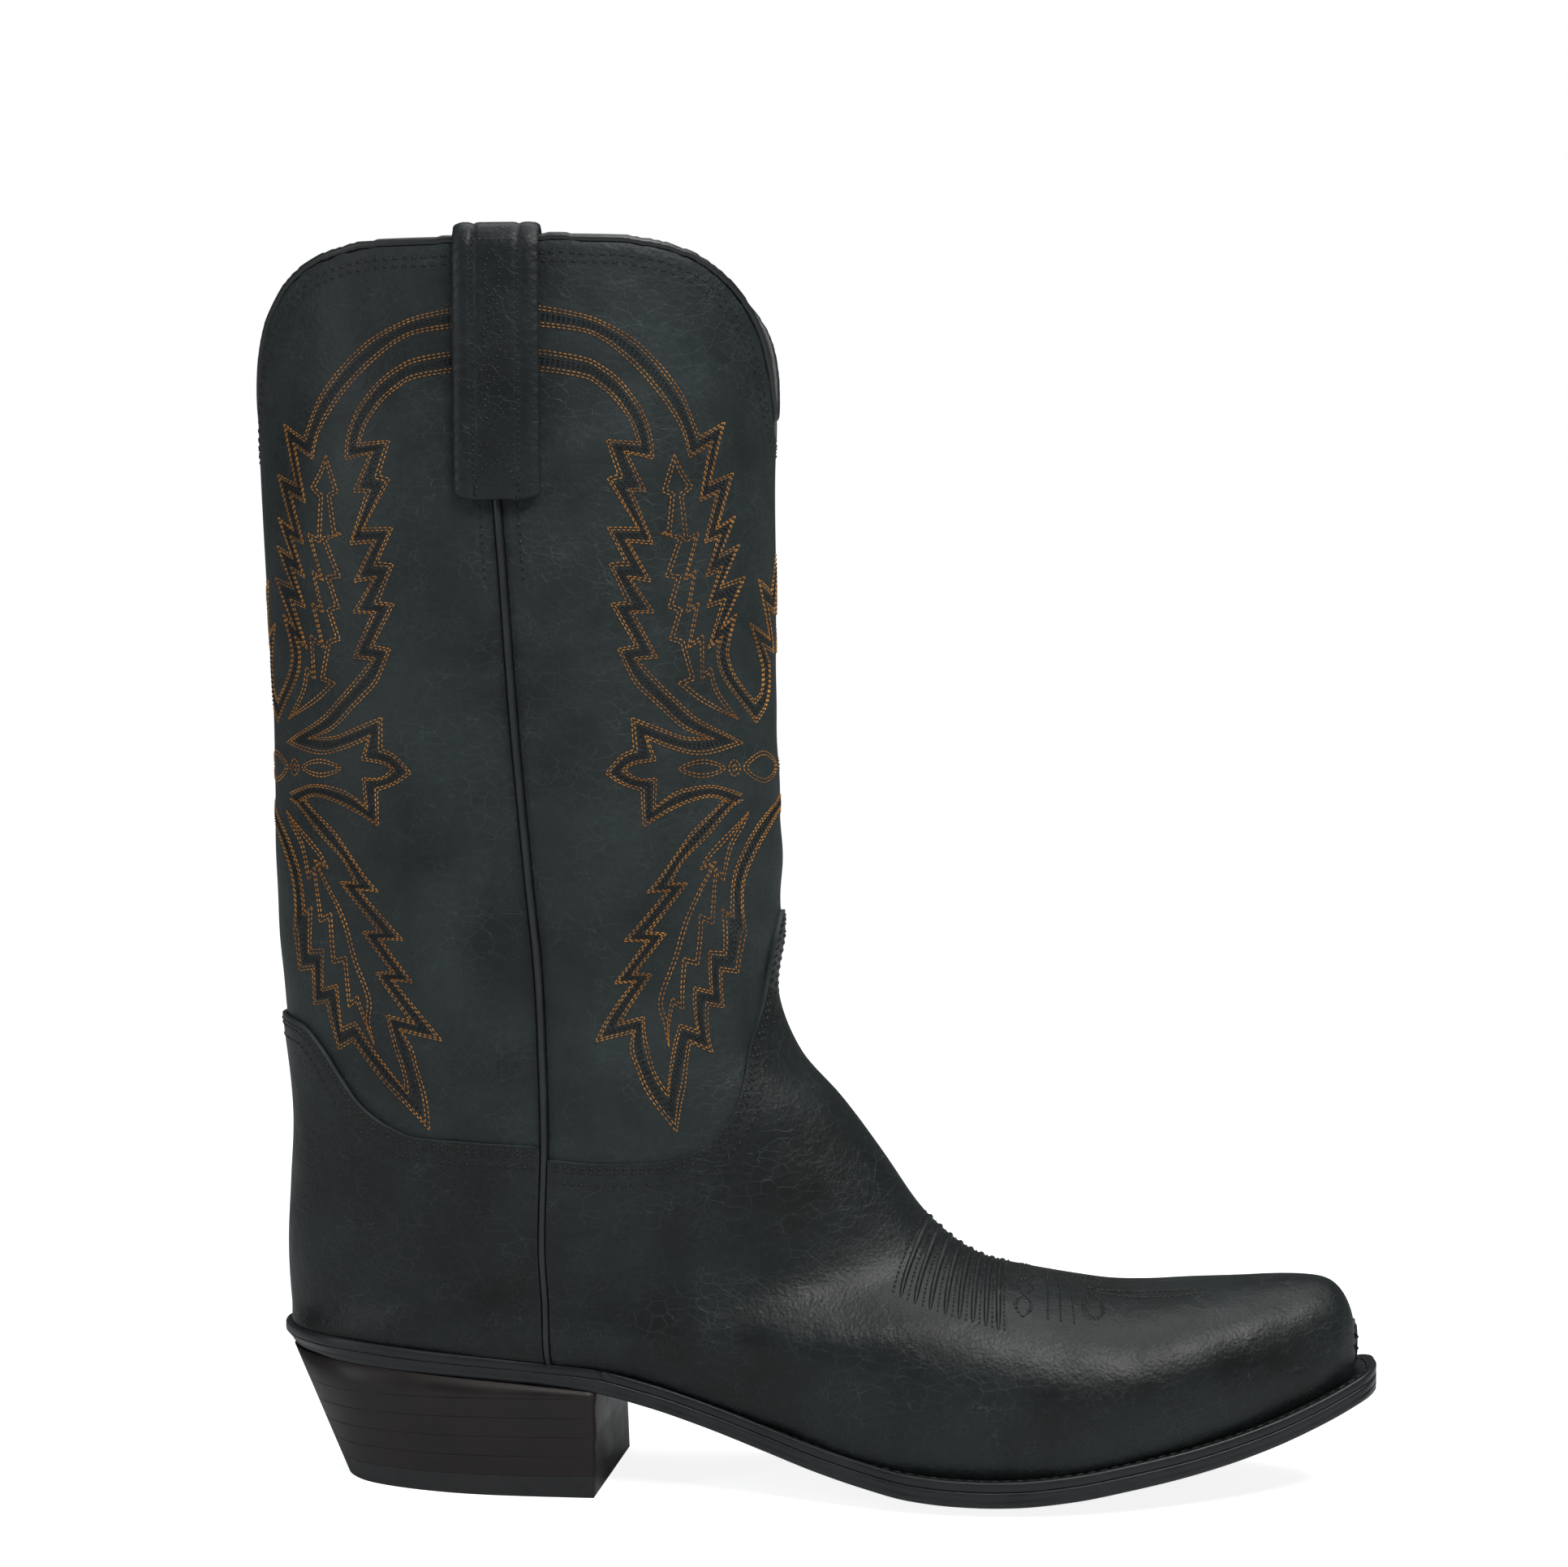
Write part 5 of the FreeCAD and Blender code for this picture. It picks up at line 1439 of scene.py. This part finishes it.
def build_welt_stitching():
    """Lock stitches in the groove of the welt, from breast to breast."""
    order = np.nonzero(RING[:, 0] > BREAST_X + 3.0)[0]
    line = lifted(RING[order] - RING_NORMAL[order] * GROOVE_INSET, WELT - 0.1)
    start, end = cut_stitches(line, 3.4, 0.84)
    up = np.tile([0.0, 0.0, 1.0], (len(start), 1))
    piece = stitch_mesh("welt_thread", [(start, end, up)], THREAD_BLACK, 0.85, 0.35)
    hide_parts("welt_stitching")


# ---------------------------------------------------------------- CAD pieces that stay
def board(name, dark, light):
    """Dull fibrous sheet."""
    return plain_leather(name, dark, light, 0.8, 1.5, 0.15)


def finish_cad():
    """Materials of the pieces that show as the CAD part has them, or are hidden inside it."""
    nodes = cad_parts
    cork = board("cork", rgb(120, 84, 52), rgb(186, 140, 92))
    fibre = board("fibre_board", rgb(150, 138, 116), rgb(188, 176, 152))
    wood = board("peg_wood", rgb(186, 150, 100), rgb(214, 182, 132))
    insole = plain_leather("insole_leather", rgb(176, 142, 102), rgb(196, 162, 120), 0.6)
    sock = plain_leather("sock_leather", rgb(92, 64, 44), rgb(116, 84, 58), 0.5)
    steel = Shade("steel", 0.35, Metallic=1.0)
    scratches = steel.noise(0.8, 5.0, place=steel.stretched((0.05, 1.0, 1.0)))
    steel.set("Base Color", steel.mix(scratches, rgb(150, 150, 152), rgb(190, 190, 192)))
    looks = {"cork_filler": cork, "toe_box": fibre, "counter_stiffener": fibre, "shank_board": fibre,
             "shank": steel.mat, "heel_nails": steel.mat, "shank_pegs": wood, "insole": insole,
             "heel_pad": sock, "vamp_lining": LINING_LEATHER}
    for name, mat in looks.items():
        materials = nodes[name].data.materials
        materials.clear()
        materials.append(mat)


# ---------------------------------------------------------------- scene
CAMERA_PLACE = (0.0502, -0.8741, 0.2375)
CAMERA_AIM = (-0.0087, 0.0, 0.2022)
LENS = 69.5
MIDDLE = (0.0, 0.0, 0.16)        # of the boot
# How bright the floor and the background look, and how bright they are as lights on the boot.
FLOOR_SEEN, FLOOR_LIT = 0.88, 0.06
SKY_SEEN, SKY_LIT = 1.0, 0.11


def aim(thing, target):
    """Turns a camera or a lamp to look at a place."""
    way = Vector(target) - thing.location
    thing.rotation_euler = way.to_track_quat("-Z", "Y").to_euler()


def build_camera():
    """Camera on the outer side, at the height of the shaft's middle."""
    camera = bpy.data.objects.new("camera", bpy.data.cameras.new("camera"))
    bpy.context.collection.objects.link(camera)
    camera.data.lens = LENS
    camera.data.sensor_width = 36.0
    camera.location = CAMERA_PLACE
    aim(camera, CAMERA_AIM)
    bpy.context.scene.camera = camera


def add_light(name, place, target, size, power, colour=(1, 1, 1)):
    """A rectangular soft light."""
    lamp = bpy.data.lights.new(name, "AREA")
    lamp.shape = "RECTANGLE"
    lamp.size, lamp.size_y = size
    lamp.energy = power
    lamp.color = colour
    thing = bpy.data.objects.new(name, lamp)
    thing.location = place
    bpy.context.collection.objects.link(thing)
    aim(thing, target)


def build_floor():
    """Pale matt floor."""
    floor = Shade("floor", 0.9, Emission_Color=(1.0, 1.0, 1.0, 1), Specular_IOR_Level=0.0)
    tone = floor.mix(floor.noise(400, 2.0), (0.52, 0.55, 0.56, 1), (0.56, 0.58, 0.59, 1))
    floor.set("Base Color", tone)
    seen = floor.tree.nodes.new("ShaderNodeLightPath").outputs["Is Camera Ray"]
    floor.set("Emission Strength", floor.ramp(seen, 0.0, 1.0, FLOOR_LIT, FLOOR_SEEN))
    bpy.ops.mesh.primitive_plane_add(size=12, location=(0, 0, 0))
    plane = bpy.context.object
    plane.name = "floor"
    plane.data.materials.append(floor.mat)


def build_world():
    """White background that lights the boot only a little."""
    world = bpy.data.worlds.new("studio")
    bpy.context.scene.world = world
    world.use_nodes = True
    tree = world.node_tree
    seen = tree.nodes.new("ShaderNodeLightPath").outputs["Is Camera Ray"]
    strength = tree.nodes.new("ShaderNodeMapRange")
    strength.inputs["To Min"].default_value = SKY_LIT
    strength.inputs["To Max"].default_value = SKY_SEEN
    tree.links.new(seen, strength.inputs["Value"])
    tree.links.new(strength.outputs[0], tree.nodes["Background"].inputs["Strength"])
    tree.nodes["Background"].inputs["Color"].default_value = (1, 1, 1, 1)


def build_lights():
    """A key from the toe's side, one from above and a strip on the left, and a soft sky."""
    add_light("key", (0.55, -0.75, 1.25), (0.08, 0, 0.05), (0.9, 0.35), 19, (1.0, 0.99, 0.97))
    add_light("top", (0.1, 0.3, 1.9), MIDDLE, (1.4, 0.8), 12)
    add_light("left", (-1.3, -0.9, 0.7), MIDDLE, (0.3, 1.2), 5, (0.95, 0.98, 1.0))
    sun = bpy.data.lights.new("sky", "SUN")
    sun.energy = 0.5
    sun.angle = math.radians(70)
    sky = bpy.data.objects.new("sky", sun)
    bpy.context.collection.objects.link(sky)
    bpy.context.scene.view_settings.view_transform = "Standard"


build_camera()
build_floor()
build_world()
build_lights()
shaft_faces = build_shaft()
foot_halves = build_foot()
build_piping()
build_rim()
build_outsole()
build_welt()
build_heel()
build_shaft_stitching()
build_edge_stitching(shaft_faces, foot_halves)
build_straps()
build_medallion(foot_halves["vamp"])
build_welt_stitching()
finish_cad()
